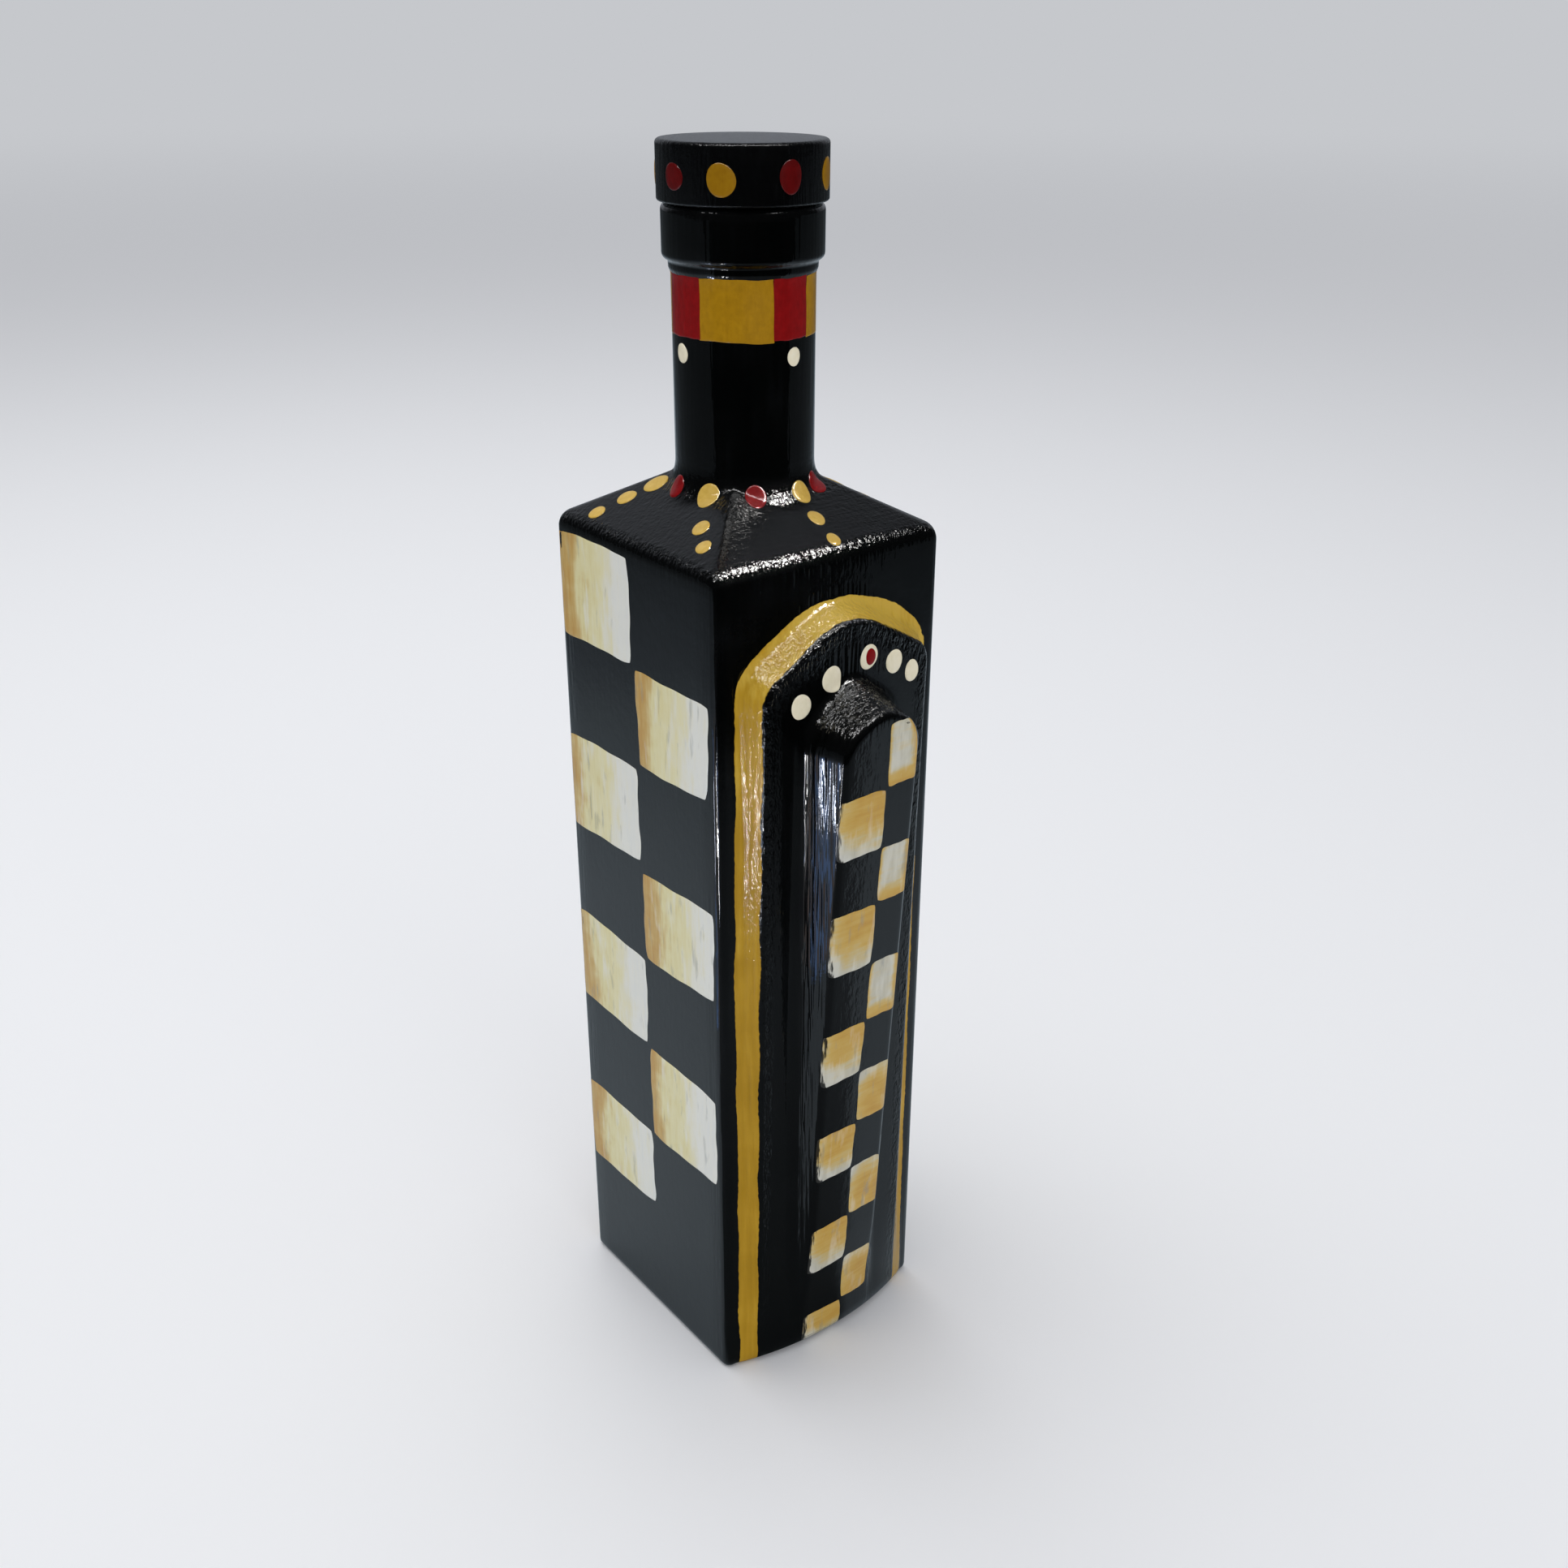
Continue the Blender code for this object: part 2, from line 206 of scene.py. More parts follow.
def joinPieces(pieces, name):
    clearPick()
    for piece in pieces:
        piece.select_set(True)
    bpy.context.view_layer.objects.active = pieces[0]
    bpy.ops.object.join()
    joined = bpy.context.object
    joined.name = name
    return joined


# curves of the glass

def roundedCorner(before, corner, after, radius, count, reach=None):
    # arrays (n, dimensions): count points on the arc that rounds each corner
    toBefore, toAfter = before - corner, after - corner
    lengthBefore = np.linalg.norm(toBefore, axis=-1, keepdims=True)
    lengthAfter = np.linalg.norm(toAfter, axis=-1, keepdims=True)
    u, v = toBefore / lengthBefore, toAfter / lengthAfter
    interior = np.arccos(np.clip((u * v).sum(-1, keepdims=True), -1, 1))
    slope = np.tan(interior / 2)
    run = radius / slope if reach is None else np.full_like(slope, reach)
    run = np.minimum(run, 0.48 * np.minimum(lengthBefore, lengthAfter))   # arcs never meet on a short side
    size = run * slope
    side = v + (v * u).sum(-1, keepdims=True) * -u
    side = side / np.maximum(np.linalg.norm(side, axis=-1, keepdims=True), 1e-9)
    turn = np.pi - interior
    start = corner + u * run
    return [start - u * size * np.sin(turn * f) + side * size * (1 - np.cos(turn * f))
            for f in np.linspace(0, 1, count)]


def between(a, b, count):
    return [a + (b - a) * (i + 1) / (count + 1) for i in range(count)]


def evenly(points, count):
    # count points at equal steps along a polyline
    steps = np.linalg.norm(np.diff(points, axis=0), axis=1)
    along = np.concatenate([[0], np.cumsum(steps)])
    places = np.linspace(0, along[-1], count)
    return np.stack([np.interp(places, along, points[:, i]) for i in range(points.shape[1])], axis=1)


def ramp(values, start, length):
    # 0 up to start, 1 from start plus length
    return np.clip((values - start) / length, 0, 1)


def around(values, centre, reach, top):
    # top at the centre, cut off at 1, and down by 1 for every reach away from it
    return np.clip(top - np.abs(values - centre) / reach, 0, 1)


# the glass bottle with its coat of paint; all in mm

glass = {
    "halfWidth": 33.2,         # the CAD wall is at 33.25, and the painted checks fill the rest
    "cornerRadius": 2.5,
    "heelRadius": 1.8,
    "crease": 226.2,
    "creaseSetback": 3.0,
    "slope": 0.566,
    "neckRadius": 16.4,
    "flareRadius": 10.0,
    "flareCentre": 241.6,
    "neckStart": 246.0,
    "archStart": 176.0,        # below this the relief only runs straight up
    "rowStep": 2.5,
    "edgeRows": 20,
    "topRows": 24,
    "wallColumns": 13,
    "arcColumns": (9, 9, 11, 9),   # over the relief's corners, from the wall inwards
    "flatColumns": (2, 2, 4, 3),   # and between them
    "slopeRows": 52,
    "bulgeTop": 38.0,          # below this the relief softens into one bulge
    "bulgeDepth": 6.5,
    "undercut": 0.35,          # share of its depth that the bulge loses at the floor
    "undercutTop": 4.5,
}
panel = {"halfWidth": 24.2, "apex": 214.0, "eaves": 6.0, "apexRadius": 16.0, "draft": 3.2,
         "low": 3.4, "rise": 4.0, "swell": 1.8, "rootRadius": 2.4, "rimRadius": 1.6}
rib = {"halfWidth": 11.3, "apex": 194.4, "eaves": 9.0, "apexRadius": 11.0, "draft": 2.7, "topDraft": 5.4,
       "low": 6.45, "growth": 0.0681, "rootRadius": 3.4, "topRootRadius": 2.2, "rimRadius": 2.2, "inner": 3.0}
finishRing = {"radius": 18.4, "edge": 1.6, "low": 288.13, "high": 297.035, "lip": 298.635, "bore": 9.25}
flatHalf = glass["halfWidth"] - glass["cornerRadius"]
wallTop = glass["crease"] - glass["creaseSetback"]
pitch = math.radians(30)

# how the paint dried: wrinkles go from 0 to a little over 1, strokes from faint at 0.05 to deep at 1
drying = {
    "plain": 0.02,
    "gableStart": 0.86,            # share of the panel's outline
    "rim": (0.45, 0.75),           # wrinkles along the panel's rim, and how much more on its gable
    "rimPlace": (-1.2, 2.2, 1.3),  # how far outside the outline, reach, and peak before it is cut off at 1
    "flank": (0.15, 0.2),          # and the same on the flank below the rim
    "flankPlace": (1.6, 1.6, 1.4),
    "ribEnd": (0.45, 188),         # on the steep end of the rib, from this height up
    "crease": (0.6, 226.4, 1.3),   # on the shoulder's lower edge: amount, height, reach
    "neckFoot": (0.5, 236.2, 1.6),
    "shoulder": (0.13, 223.5, 243),   # between these heights
    "wallStrokes": 0.05,
    "cornerStrokes": 0.7,
    "shoulderStrokes": 0.45,
}

# the painted band's edges, drawn by hand: how far each lies outside the panel's outline
band = {
    "heights": [0.08, 0.32, 0.57, 0.85, 0.895, 0.925, 0.95, 0.975, 1.0],   # shares of the outline's length
    "left": [5.2, 4.6, 5.0, 4.1, 4.3, 5.1, 4.7, 4.1, 3.75],
    "right": [5.0, 4.9, 4.8, 4.9, 5.2, 6.3, 6.0, 4.6, 3.75],
    "inner": 0.5,
    "waves": [(0.16, 5.3, 0.0), (0.12, 2.9, 1.2)],   # how the outer edge wanders: size, length, start
    "innerWave": (0.12, 4.1),
    "outline": 247,            # about the length of the outline's left half
    "outlineFoot": -20.0,      # the height that it starts at, below the base
    "outlineSteps": 1400,
    "none": 9.0,               # far outside the band
}


def panelDepth(z):
    return panel["low"] + panel["rise"] * (np.maximum(z, 0) / panel["apex"]) ** panel["swell"]


def ribDepth(z):
    return rib["low"] + rib["growth"] * z


def heelInset(z):
    radius = glass["heelRadius"]
    lift = np.clip(radius - z, 0, radius)
    return radius - np.sqrt(radius ** 2 - lift ** 2)


def halfArch(shape):
    # left half of the gabled arch, from archStart up to the apex, with its outward normals
    width, apex = shape["halfWidth"], shape["apex"]
    start = np.array([[-width, glass["archStart"]]])
    eaves = np.array([[-width, apex - width * math.tan(pitch)]])
    top = np.array([[0.0, apex]])
    other = eaves * (-1, 1)
    eavesArc = np.concatenate(roundedCorner(start, eaves, top, shape["eaves"], 13))
    apexArc = np.concatenate(roundedCorner(eaves, top, other, shape["apexRadius"], 25))[:13]
    lower = evenly(np.concatenate([start, eavesArc[:7]]), glass["edgeRows"] + 1)
    upper = evenly(np.concatenate([eavesArc[6:], apexArc]), glass["topRows"] + 1)
    points = np.concatenate([lower, upper[1:]])
    points[-1, 0] = 0.0
    along = np.gradient(points, axis=0)
    along /= np.linalg.norm(along, axis=1, keepdims=True)
    normals = np.stack([-along[:, 1], along[:, 0]], axis=1)
    normals[0], normals[-1] = (-1, 0), (0, 1)
    return points, normals


def withStraightSide(points, normals, rows):
    # adds the straight side's rows below an arch
    side = np.stack([np.full(len(rows), points[0, 0]), rows], axis=1)
    return np.concatenate([side, points]), np.concatenate([np.tile((-1.0, 0.0), (len(rows), 1)), normals])


def softFoot(points):
    # towards the base the relief melts into one even bulge, which ends 3 mm short of the corners
    x, depth, z = points[..., 0], points[..., 1], points[..., 2]
    part = np.clip(np.abs(x) / flatHalf, 0, 1)
    edge = np.clip((1 - part) * flatHalf / 3.0, 0, 1)
    bulge = glass["bulgeDepth"] * (1 - part ** 2.2) * edge * (2 - edge)
    t = np.clip(z / glass["bulgeTop"], 0, 1)
    t = t * t * (3 - 2 * t)
    undercut = 1 - glass["undercut"] * np.clip(1 - z / glass["undercutTop"], 0, 1) ** 2
    return np.stack([x, (bulge * (1 - t) + depth * t) * undercut, z], axis=-1)


def reliefColumns(straightRows):
    # the left half of a relief face: rows follow the arch, columns go from the wall's edge to the middle
    panelPlan, panelOut = withStraightSide(*halfArch(panel), straightRows)
    ribPlan, ribOut = withStraightSide(*halfArch(rib), straightRows)
    edgeUp = np.concatenate([straightRows, np.linspace(glass["archStart"], wallTop, glass["edgeRows"] + 1)])
    edgeIn = np.linspace(-flatHalf, 0, glass["topRows"] + 1)[1:]
    edge = np.concatenate([np.stack([np.full(len(edgeUp), -flatHalf), edgeUp], axis=1),
                           np.stack([edgeIn, np.full(len(edgeIn), wallTop)], axis=1)])
    facingUp = np.clip(ribOut[:, 1:], 0, 1)
    ribDraft = rib["draft"] + (rib["topDraft"] - rib["draft"]) * facingUp ** 12
    ribRootRadius = rib["rootRadius"] + (rib["topRootRadius"] - rib["rootRadius"]) * facingUp
    plans = [edge, panelPlan + panelOut * panel["draft"], panelPlan,
             ribPlan + ribOut * ribDraft, ribPlan, ribPlan - ribOut * rib["inner"]]
    wall = np.zeros(len(edge))
    depths = [wall, wall, panelDepth(plans[2][:, 1]), panelDepth(plans[3][:, 1]),
              ribDepth(plans[4][:, 1]), ribDepth(plans[5][:, 1])]
    lines = [np.stack([plan[:, 0], depth, plan[:, 1]], axis=1) for plan, depth in zip(plans, depths)]
    radii = (panel["rootRadius"], panel["rimRadius"], ribRootRadius, rib["rimRadius"])
    columns = [lines[0]]
    for index, (radius, onArc, before) in enumerate(zip(radii, glass["arcColumns"], glass["flatColumns"])):
        arc = roundedCorner(*lines[index:index + 3], radius, onArc)
        columns += between(columns[-1], arc[0], before) + arc
    middle = lines[5] * (0, 1, 1)
    columns += between(columns[-1], lines[5], 1) + [lines[5]] + between(lines[5], middle, 3) + [middle]
    return np.stack(columns, axis=1), panelPlan


def reliefHalf(straightRows):
    grid, panelPlan = reliefColumns(straightRows)
    # how far each point lies outside the panel's outline, and how far up that outline it is
    foot = [[-panel["halfWidth"], band["outlineFoot"]]]
    outline = evenly(np.concatenate([foot, panelPlan]), band["outlineSteps"])
    outwards = np.gradient(outline, axis=0)
    outwards = np.stack([-outwards[:, 1], outwards[:, 0]], axis=1)
    flat = grid[..., [0, 2]].reshape(-1, 2)
    gaps = np.linalg.norm(flat[:, None, :] - outline[None, :, :], axis=2)
    nearest = gaps.argmin(axis=1)
    side = np.sign(((flat - outline[nearest]) * outwards[nearest]).sum(-1))
    distance = (gaps[np.arange(len(flat)), nearest] * side).reshape(grid.shape[:2])
    share = (nearest / (band["outlineSteps"] - 1)).reshape(grid.shape[:2])
    # paint dried in wrinkles along the panel's rim, on its flank and on the steep end of the rib
    x, depth, z = grid[..., 0], grid[..., 1], grid[..., 2]
    gable = ramp(share, drying["gableStart"], 0.05)
    (rimBase, rimMore), (flankBase, flankMore) = drying["rim"], drying["flank"]
    rim = around(distance, *drying["rimPlace"]) * (rimBase + rimMore * gable)
    flank = around(distance, *drying["flankPlace"]) * (flankBase + flankMore * gable)
    amount, ribHigh = drying["ribEnd"]
    ribEnd = ramp(z, ribHigh, 4) * ramp(depth - panelDepth(z), 0.3, 1.5) * ramp(ribDepth(z) - depth, 0, 1)
    wrinkle = drying["plain"] + np.maximum(np.maximum(rim, amount * ribEnd), flank)
    # and deep brush strokes run up the steep parts
    runX, runDepth = np.gradient(x, axis=1), np.gradient(depth, axis=1)
    steep = np.abs(runDepth) / np.maximum(np.hypot(runX, runDepth), 1e-6)
    faint = drying["wallStrokes"]
    streak = faint + (1 - faint) * np.clip(steep / 0.5, 0, 1)
    return softFoot(grid), distance, share, {"wrinkle": wrinkle, "streak": streak}


def makeReliefs(straightRows):
    # both halves of both relief faces, with the band's edges marked on them
    points, distance, share, dried = reliefHalf(straightRows)
    climb = share * band["outline"]
    wave = sum(size * np.sin(climb / length + start) for size, length, start in band["waves"])
    innerSize, innerLength = band["innerWave"]
    blocks = []
    for x, half, phase in ((1, "left", 0.0), (-1, "right", 2.1)):
        outer = np.interp(share, band["heights"], band[half]) + wave * math.cos(phase)
        inner = band["inner"] + innerSize * np.sin(climb / innerLength + phase)
        marks = dict(dried, bandOuter=distance - outer, bandInner=distance - inner)
        for y in (1, -1):
            stands = glass["halfWidth"] + points[..., 1] - heelInset(points[..., 2])
            placed = np.stack([points[..., 0] * x, -stands * y, points[..., 2]], axis=-1)
            blocks.append(bentGrid("relief", placed, marks))
    return blocks


unmarked = {"bandOuter": band["none"], "bandInner": band["none"], "wrinkle": drying["plain"],
            "streak": drying["wallStrokes"]}


def makeWalls(straightRows, across, turn):
    # the two plain walls and the four upright corners
    edgeUp = np.linspace(glass["archStart"], wallTop, glass["edgeRows"] + 1)
    rows = np.concatenate([straightRows, edgeUp])[:, None]
    inset = heelInset(rows)
    radius = glass["cornerRadius"] - inset
    blocks = []
    for side in (1, -1):
        wall = np.stack([(inset - glass["halfWidth"]) * side + 0 * across, across + 0 * inset,
                         rows + 0 * across], axis=-1)
        blocks.append(bentGrid("plainWall", wall, unmarked))
        for front in (1, -1):
            corner = np.stack([-(flatHalf + radius * np.cos(turn)) * side,
                               -(flatHalf + radius * np.sin(turn)) * front, rows + 0 * turn], axis=-1)
            blocks.append(bentGrid("corner", corner, dict(unmarked, streak=drying["cornerStrokes"])))
    return blocks


def shoulderProfile(reach):
    # (radius, height) from the wall's top over the crease, up the slope and the flare to the neck, in a
    # plane through the axis that meets the wall at reach
    fall = glass["slope"] * glass["halfWidth"] / reach
    peak = glass["crease"] + fall * reach
    size = glass["flareCentre"] - peak + fall * (glass["neckRadius"] + glass["flareRadius"])
    size /= glass["flareRadius"] * math.hypot(1, fall)
    meet = math.asin(min(size, 1.0)) - math.atan(fall)
    angles = np.linspace(meet, 0, 12)
    flare = np.stack([glass["neckRadius"] + glass["flareRadius"] * (1 - np.cos(angles)),
                      glass["flareCentre"] - glass["flareRadius"] * np.sin(angles)], axis=1)
    start, crease = np.array([[reach, wallTop]]), np.array([[reach, glass["crease"]]])
    bend = np.concatenate(roundedCorner(start - (0, 9), crease, flare[:1], 0, 9, reach=glass["creaseSetback"]))
    top = [[glass["neckRadius"], glass["neckStart"]]]
    rest = evenly(np.concatenate([bend[-1:], flare, top]), glass["slopeRows"])
    for _ in range(2):   # softens the joints between slope, flare and neck
        rest[1:-1] = (rest[:-2] + 2 * rest[1:-1] + rest[2:]) / 4
    return np.concatenate([bend, rest[1:]])


def makeShoulder(across, arc):
    half = np.linspace(-flatHalf, 0, glass["topRows"] + 1)
    frontX = np.concatenate([half, -half[::-1][1:]])
    bulge, wall = glass["cornerRadius"], glass["halfWidth"]
    faces = [np.stack([frontX, np.full(len(frontX), -wall)], axis=1),
             np.stack([flatHalf + bulge * np.sin(arc), -flatHalf - bulge * np.cos(arc)], axis=1),
             np.stack([np.full(len(across), wall), across], axis=1),
             np.stack([flatHalf + bulge * np.cos(arc), flatHalf + bulge * np.sin(arc)], axis=1)]
    halfLoop = np.concatenate([face[:-1] for face in faces])
    columns = []
    for point in np.concatenate([halfLoop, -halfLoop, halfLoop[:1]]):
        reach = np.linalg.norm(point)
        out, profile = point / reach, shoulderProfile(reach)
        columns.append(np.stack([out[0] * profile[:, 0], out[1] * profile[:, 0], profile[:, 1]], axis=1))
    shoulder = np.stack(columns, axis=1)
    height = shoulder[..., 2]
    edges = np.maximum(*(amount * np.exp(-((height - middle) / reach) ** 2)
                         for amount, middle, reach in (drying["crease"], drying["neckFoot"])))
    amount, low, high = drying["shoulder"]
    rough = ramp(height, low, 2) * ramp(-height, -high, 4) * amount
    wrinkle = drying["plain"] + np.maximum(edges, rough)
    return bentGrid("shoulder", shoulder, dict(unmarked, streak=drying["shoulderStrokes"], wrinkle=wrinkle))


def makeNeck(bottle):
    # neck, bead, finish ring, lip, bore and the hollow inside, in one run of (radius, height)
    top, neck, edge = glass["neckStart"], glass["neckRadius"], finishRing["edge"]
    low, high, lip, bore = finishRing["low"], finishRing["high"], finishRing["lip"], finishRing["bore"]
    face = finishRing["radius"] - edge
    bend = [math.radians(a) for a in (-72, -54, -36, -18, 0)]
    rings = [(neck, z) for z in (252, 260, 268, 276, 283.6)]
    rings += [(16.55, 284.1), (16.8, 284.55), (16.95, 285.1), (16.98, 285.9), (17.02, 286.3), (17.25, 286.53)]
    rings += [(face + edge * math.cos(a), low + edge * math.sin(a)) for a in bend]
    rings += [(finishRing["radius"], z) for z in (291, 294, high)]
    rings += [(face + edge * math.cos(-a), high + edge * math.sin(-a)) for a in reversed(bend[:-1])]
    rings += [(face, lip), (13.2, lip), (10.05, lip), (9.75, 298.55), (9.4, 298.2), (bore, 297.7)]
    rings += [(bore, z) for z in (290, 275, 255, 233)]
    rings += [(11, 229.5), (18, 226), (26, 220), (27, 216), (27, 120), (27, 17), (24, 13), (10, 12.2), (0.4, 12.2)]
    pickVertices(bottle, lambda co: co.z > (top - 0.05) * mm)
    extrudeRings(rings, (neck, top))


def makeGlass():
    heelRows = glass["heelRadius"] * (1 - np.cos(np.linspace(0, np.pi / 2, 6)))
    straightRows = np.concatenate([
        heelRows, np.arange(glass["heelRadius"] + 1.2, glass["archStart"] - 1.0, glass["rowStep"])])
    across = np.linspace(-flatHalf, flatHalf, glass["wallColumns"])
    turn = np.linspace(0, np.pi / 2, 7)
    blocks = makeReliefs(straightRows) + makeWalls(straightRows, across[None, :], turn[None, :])
    bottle = joinPieces(blocks + [makeShoulder(across, turn)], "paintedGlass")
    mergeClose(0.01 * mm)
    makeNeck(bottle)
    # flat bearing ring and shallow push-up under the base, as shares of its radius and mm up
    pickVertices(bottle, lambda co: abs(co.z) < 0.002 * mm)
    extrudeRings([(0.97, 0), (0.78, 0), (0.73, 0.9), (0.66, 2.0), (0.3, 2.0), (0.01, 2.0)], (1, 0))
    finishShape(bottle, 50)
    return bottle


def glassPaint():
    # black acrylic craft paint under brushed gloss varnish: deep black, whose upright strokes and dried
    # wrinkles break its reflections into streaks; the ochre band is painted over it by hand
    look = {"ior": 1.45, "coat": 1.0, "coatRoughness": 0.04, "coatIor": 1.5, "specular": 0.06,
            "roughness": (0.24, 0.4),
            "black": [(0.35, "#010202"), (0.55, "#030404"), (0.8, "#0b0d0f")],
            "ochre": [(0.35, "#ad851c"), (0.5, "#b68d22"), (0.65, "#c2992c"), (0.85, "#d9b54a")],
            "paler": (0.16, 0.21, 0.3),    # painted highlight: the ochre pales between these metres up, by this much, where the arch faces up into the light
            "outerFade": (0.31, 0.19),     # mm outside each of the band's edges, from black to ochre
            "innerFade": (0.14, 0.26),
            "shake": (0.5, 0.4),           # how far a shaky hand moves the outer and the inner edge, in mm
            "shakeLength": 1.6,            # mm
            "broad": 14.0}                 # mm: how wide the uneven patches in the black and the ochre are
    brush = {"strokeWidth": 1.0, "strokeLength": 18.0, "strokeDepth": 0.2, "detail": 0.7,
             "dabWidth": 3.2, "dabDepth": 0.03,
             "wrinkleWidth": 1.0, "wrinkleSquash": 0.45, "wrinkleDepth": 0.85}
    material, tree, shader = startMaterial("blackAcrylicUnderVarnish", look)
    marks = brushTexture(tree, shader, brush)
    place = marks["place"]
    broad = addNode(tree, "TexNoise", {}, {"Scale": 1 / (look["broad"] * mm), "Detail": 3.0}, {"Vector": place})
    # two parts of the broad noise to one of the strokes
    both = addNode(tree, "Math", {"operation": "MULTIPLY_ADD"}, {1: 0.5}, {0: marks["strokes"], 2: broad})
    tone = addNode(tree, "Math", {"operation": "MULTIPLY"}, {1: 0.667}, {0: both})
    black = addNode(tree, "ValToRGB", links={"Fac": tone}, stops=look["black"])
    # painted highlight: the band's ochre is painted paler up towards the arch, whose upturned faces catch more light
    # from above
    low, high, most = look["paler"]
    paintedArchHighlight = addNode(tree, "MapRange", {}, {"From Min": low, "From Max": high, "To Max": most},
                      {"Value": marks["height"]})
    paler = addNode(tree, "Math", {"operation": "ADD"}, {}, {0: tone, 1: paintedArchHighlight})
    ochre = addNode(tree, "ValToRGB", links={"Fac": paler}, stops=look["ochre"])
    shake = addNode(tree, "TexNoise", {}, {"Scale": 1 / (look["shakeLength"] * mm), "Detail": 2.0},
                    {"Vector": place})
    inside = []
    for key, wobble, fade in zip(("bandOuter", "bandInner"), look["shake"], (look["outerFade"], look["innerFade"])):
        drawn = addNode(tree, "Attribute", {"attribute_name": key})
        edge = addNode(tree, "Math", {"operation": "MULTIPLY_ADD"}, {1: wobble},
                       {0: shake, 2: drawn.outputs["Fac"]})
        inside.append(addNode(tree, "MapRange", {}, {"From Min": fade[0], "From Max": fade[1]}, {"Value": edge}))
    painted = addNode(tree, "Math", {"operation": "MULTIPLY"}, {}, {0: inside[0], 1: inside[1]})
    colour = addNode(tree, "Mix", {"data_type": "RGBA"}, {}, {"Factor": painted, 6: black, 7: ochre})
    tree.links.new(colour.outputs[2], shader.inputs["Base Color"])
    shine = addNode(tree, "MapRange", {}, {"To Min": look["roughness"][0], "To Max": look["roughness"][1]},
                    {"Value": marks["dabs"]})
    tree.links.new(shine.outputs[0], shader.inputs["Roughness"])
    return material


bottle = makeGlass()
bottle.data.materials.clear()
bottle.data.materials.append(glassPaint())
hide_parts("bottle")
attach(bottle, "bottle")
print("glass done:", len(bottle.data.polygons), "faces")


# stopper; all in mm

cap = {"radius": 19.2, "low": 298.935, "high": 311.785, "rim": 1.0, "foot": 0.6, "socket": 9.25, "depth": 6.0,
       "topRings": (7.776, 10.368), "sides": 128}   # the rings keep the top's shading flat
shank = {"radius": 8.95, "low": 274.635, "high": 304.635, "chamfer": 1.0, "sides": 96}


def turnedBlank(name, shape):
    clearPick()
    bpy.ops.mesh.primitive_cylinder_add(vertices=shape["sides"], radius=shape["radius"] * mm,
                                        depth=(shape["high"] - shape["low"]) * mm,
                                        location=(0, 0, (shape["high"] + shape["low"]) / 2 * mm))
    piece = bpy.context.object
    piece.name = name
    bpy.ops.object.transform_apply(location=True, rotation=True, scale=True)
    return piece


def makeCap():
    piece = turnedBlank("stopperCap", cap)

    def atTop(co):
        return co.z > (cap["high"] - 0.01) * mm

    def atFoot(co):
        return co.z < (cap["low"] + 0.01) * mm

    pickVertices(piece, atTop)
    bpy.ops.mesh.bevel(offset=cap["rim"] * mm, segments=6, profile=0.5, affect="EDGES")
    pickVertices(piece, atTop)
    for thickness in cap["topRings"]:
        bpy.ops.mesh.inset(thickness=thickness * mm)
    pickVertices(piece, atFoot)
    bpy.ops.mesh.bevel(offset=cap["foot"] * mm, segments=4, profile=0.5, affect="EDGES")
    pickVertices(piece, atFoot)
    bpy.ops.mesh.inset(thickness=(cap["radius"] - cap["foot"] - cap["socket"]) * mm)
    bpy.ops.mesh.extrude_region_move(TRANSFORM_OT_translate={"value": (0, 0, cap["depth"] * mm)})
    finishShape(piece, 35)
    return piece


def makeShank():
    piece = turnedBlank("stopperShank", shank)
    pickVertices(piece, lambda co: co.z < (shank["low"] + 0.01) * mm)
    bpy.ops.mesh.bevel(offset=shank["chamfer"] * mm, segments=4, profile=0.5, affect="EDGES")
    finishShape(piece, 35)
    return piece


def capPaint():
    # the same black on turned beech: satin, with fine upright marks and small dabs that dull its shine
    look = {"ior": 1.45, "coat": 0.8, "coatRoughness": 0.12, "coatIor": 1.48, "specular": 0.08,
            "roughness": (0.34, 0.5), "black": [(0.35, "#020203"), (0.6, "#040506"), (0.85, "#0b0c0e")]}
    brush = {"strokeWidth": 0.8, "strokeLength": 7.0, "strokeDepth": 0.22, "dabWidth": 1.4, "dabDepth": 0.08}
    material, tree, shader = startMaterial("blackPaintOnBeech", look)
    marks = brushTexture(tree, shader, brush)
    black = addNode(tree, "ValToRGB", links={"Fac": marks["strokes"]}, stops=look["black"])
    tree.links.new(black.outputs["Color"], shader.inputs["Base Color"])
    shine = addNode(tree, "MapRange", {}, {"To Min": look["roughness"][0], "To Max": look["roughness"][1]},
                    {"Value": marks["dabs"]})
    tree.links.new(shine.outputs[0], shader.inputs["Roughness"])
    return material


def corkPaint():
    # natural cork: warm tan with dark pores and no shine
    look = {"ior": 1.4, "coat": 0.0, "coatRoughness": 0.3, "coatIor": 1.5, "specular": 0.3, "roughness": 0.85,
            "cork": [(0.2, "#6b4a2c"), (0.42, "#b08a5c"), (0.7, "#c8a57a")],
            "grain": 1.5, "pores": 2.2, "poreDepth": 0.15}   # mm
    material, tree, shader = startMaterial("naturalCork", look)
    place = addNode(tree, "TexCoord").outputs["Object"]
    grain = addNode(tree, "TexNoise", {}, {"Scale": 1 / (look["grain"] * mm), "Detail": 6.0, "Roughness": 0.7},
                    {"Vector": place})
    pores = addNode(tree, "TexVoronoi", {}, {"Scale": 1 / (look["pores"] * mm)}, {"Vector": place})
    cork = addNode(tree, "ValToRGB", links={"Fac": grain}, stops=look["cork"])
    bump = addNode(tree, "Bump", {}, {"Strength": 1.0, "Distance": look["poreDepth"] * mm}, {"Height": pores})
    tree.links.new(cork.outputs["Color"], shader.inputs["Base Color"])
    tree.links.new(bump.outputs["Normal"], shader.inputs["Normal"])
    shader.inputs["Roughness"].default_value = look["roughness"]
    return material


capPiece = makeCap()
capPiece.data.materials.append(capPaint())
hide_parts("stopper_cap")
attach(capPiece, "stopper")
shankPiece = makeShank()
shankPiece.data.materials.append(corkPaint())
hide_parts("stopper_shank")
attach(shankPiece, "stopper")
print("stopper done")


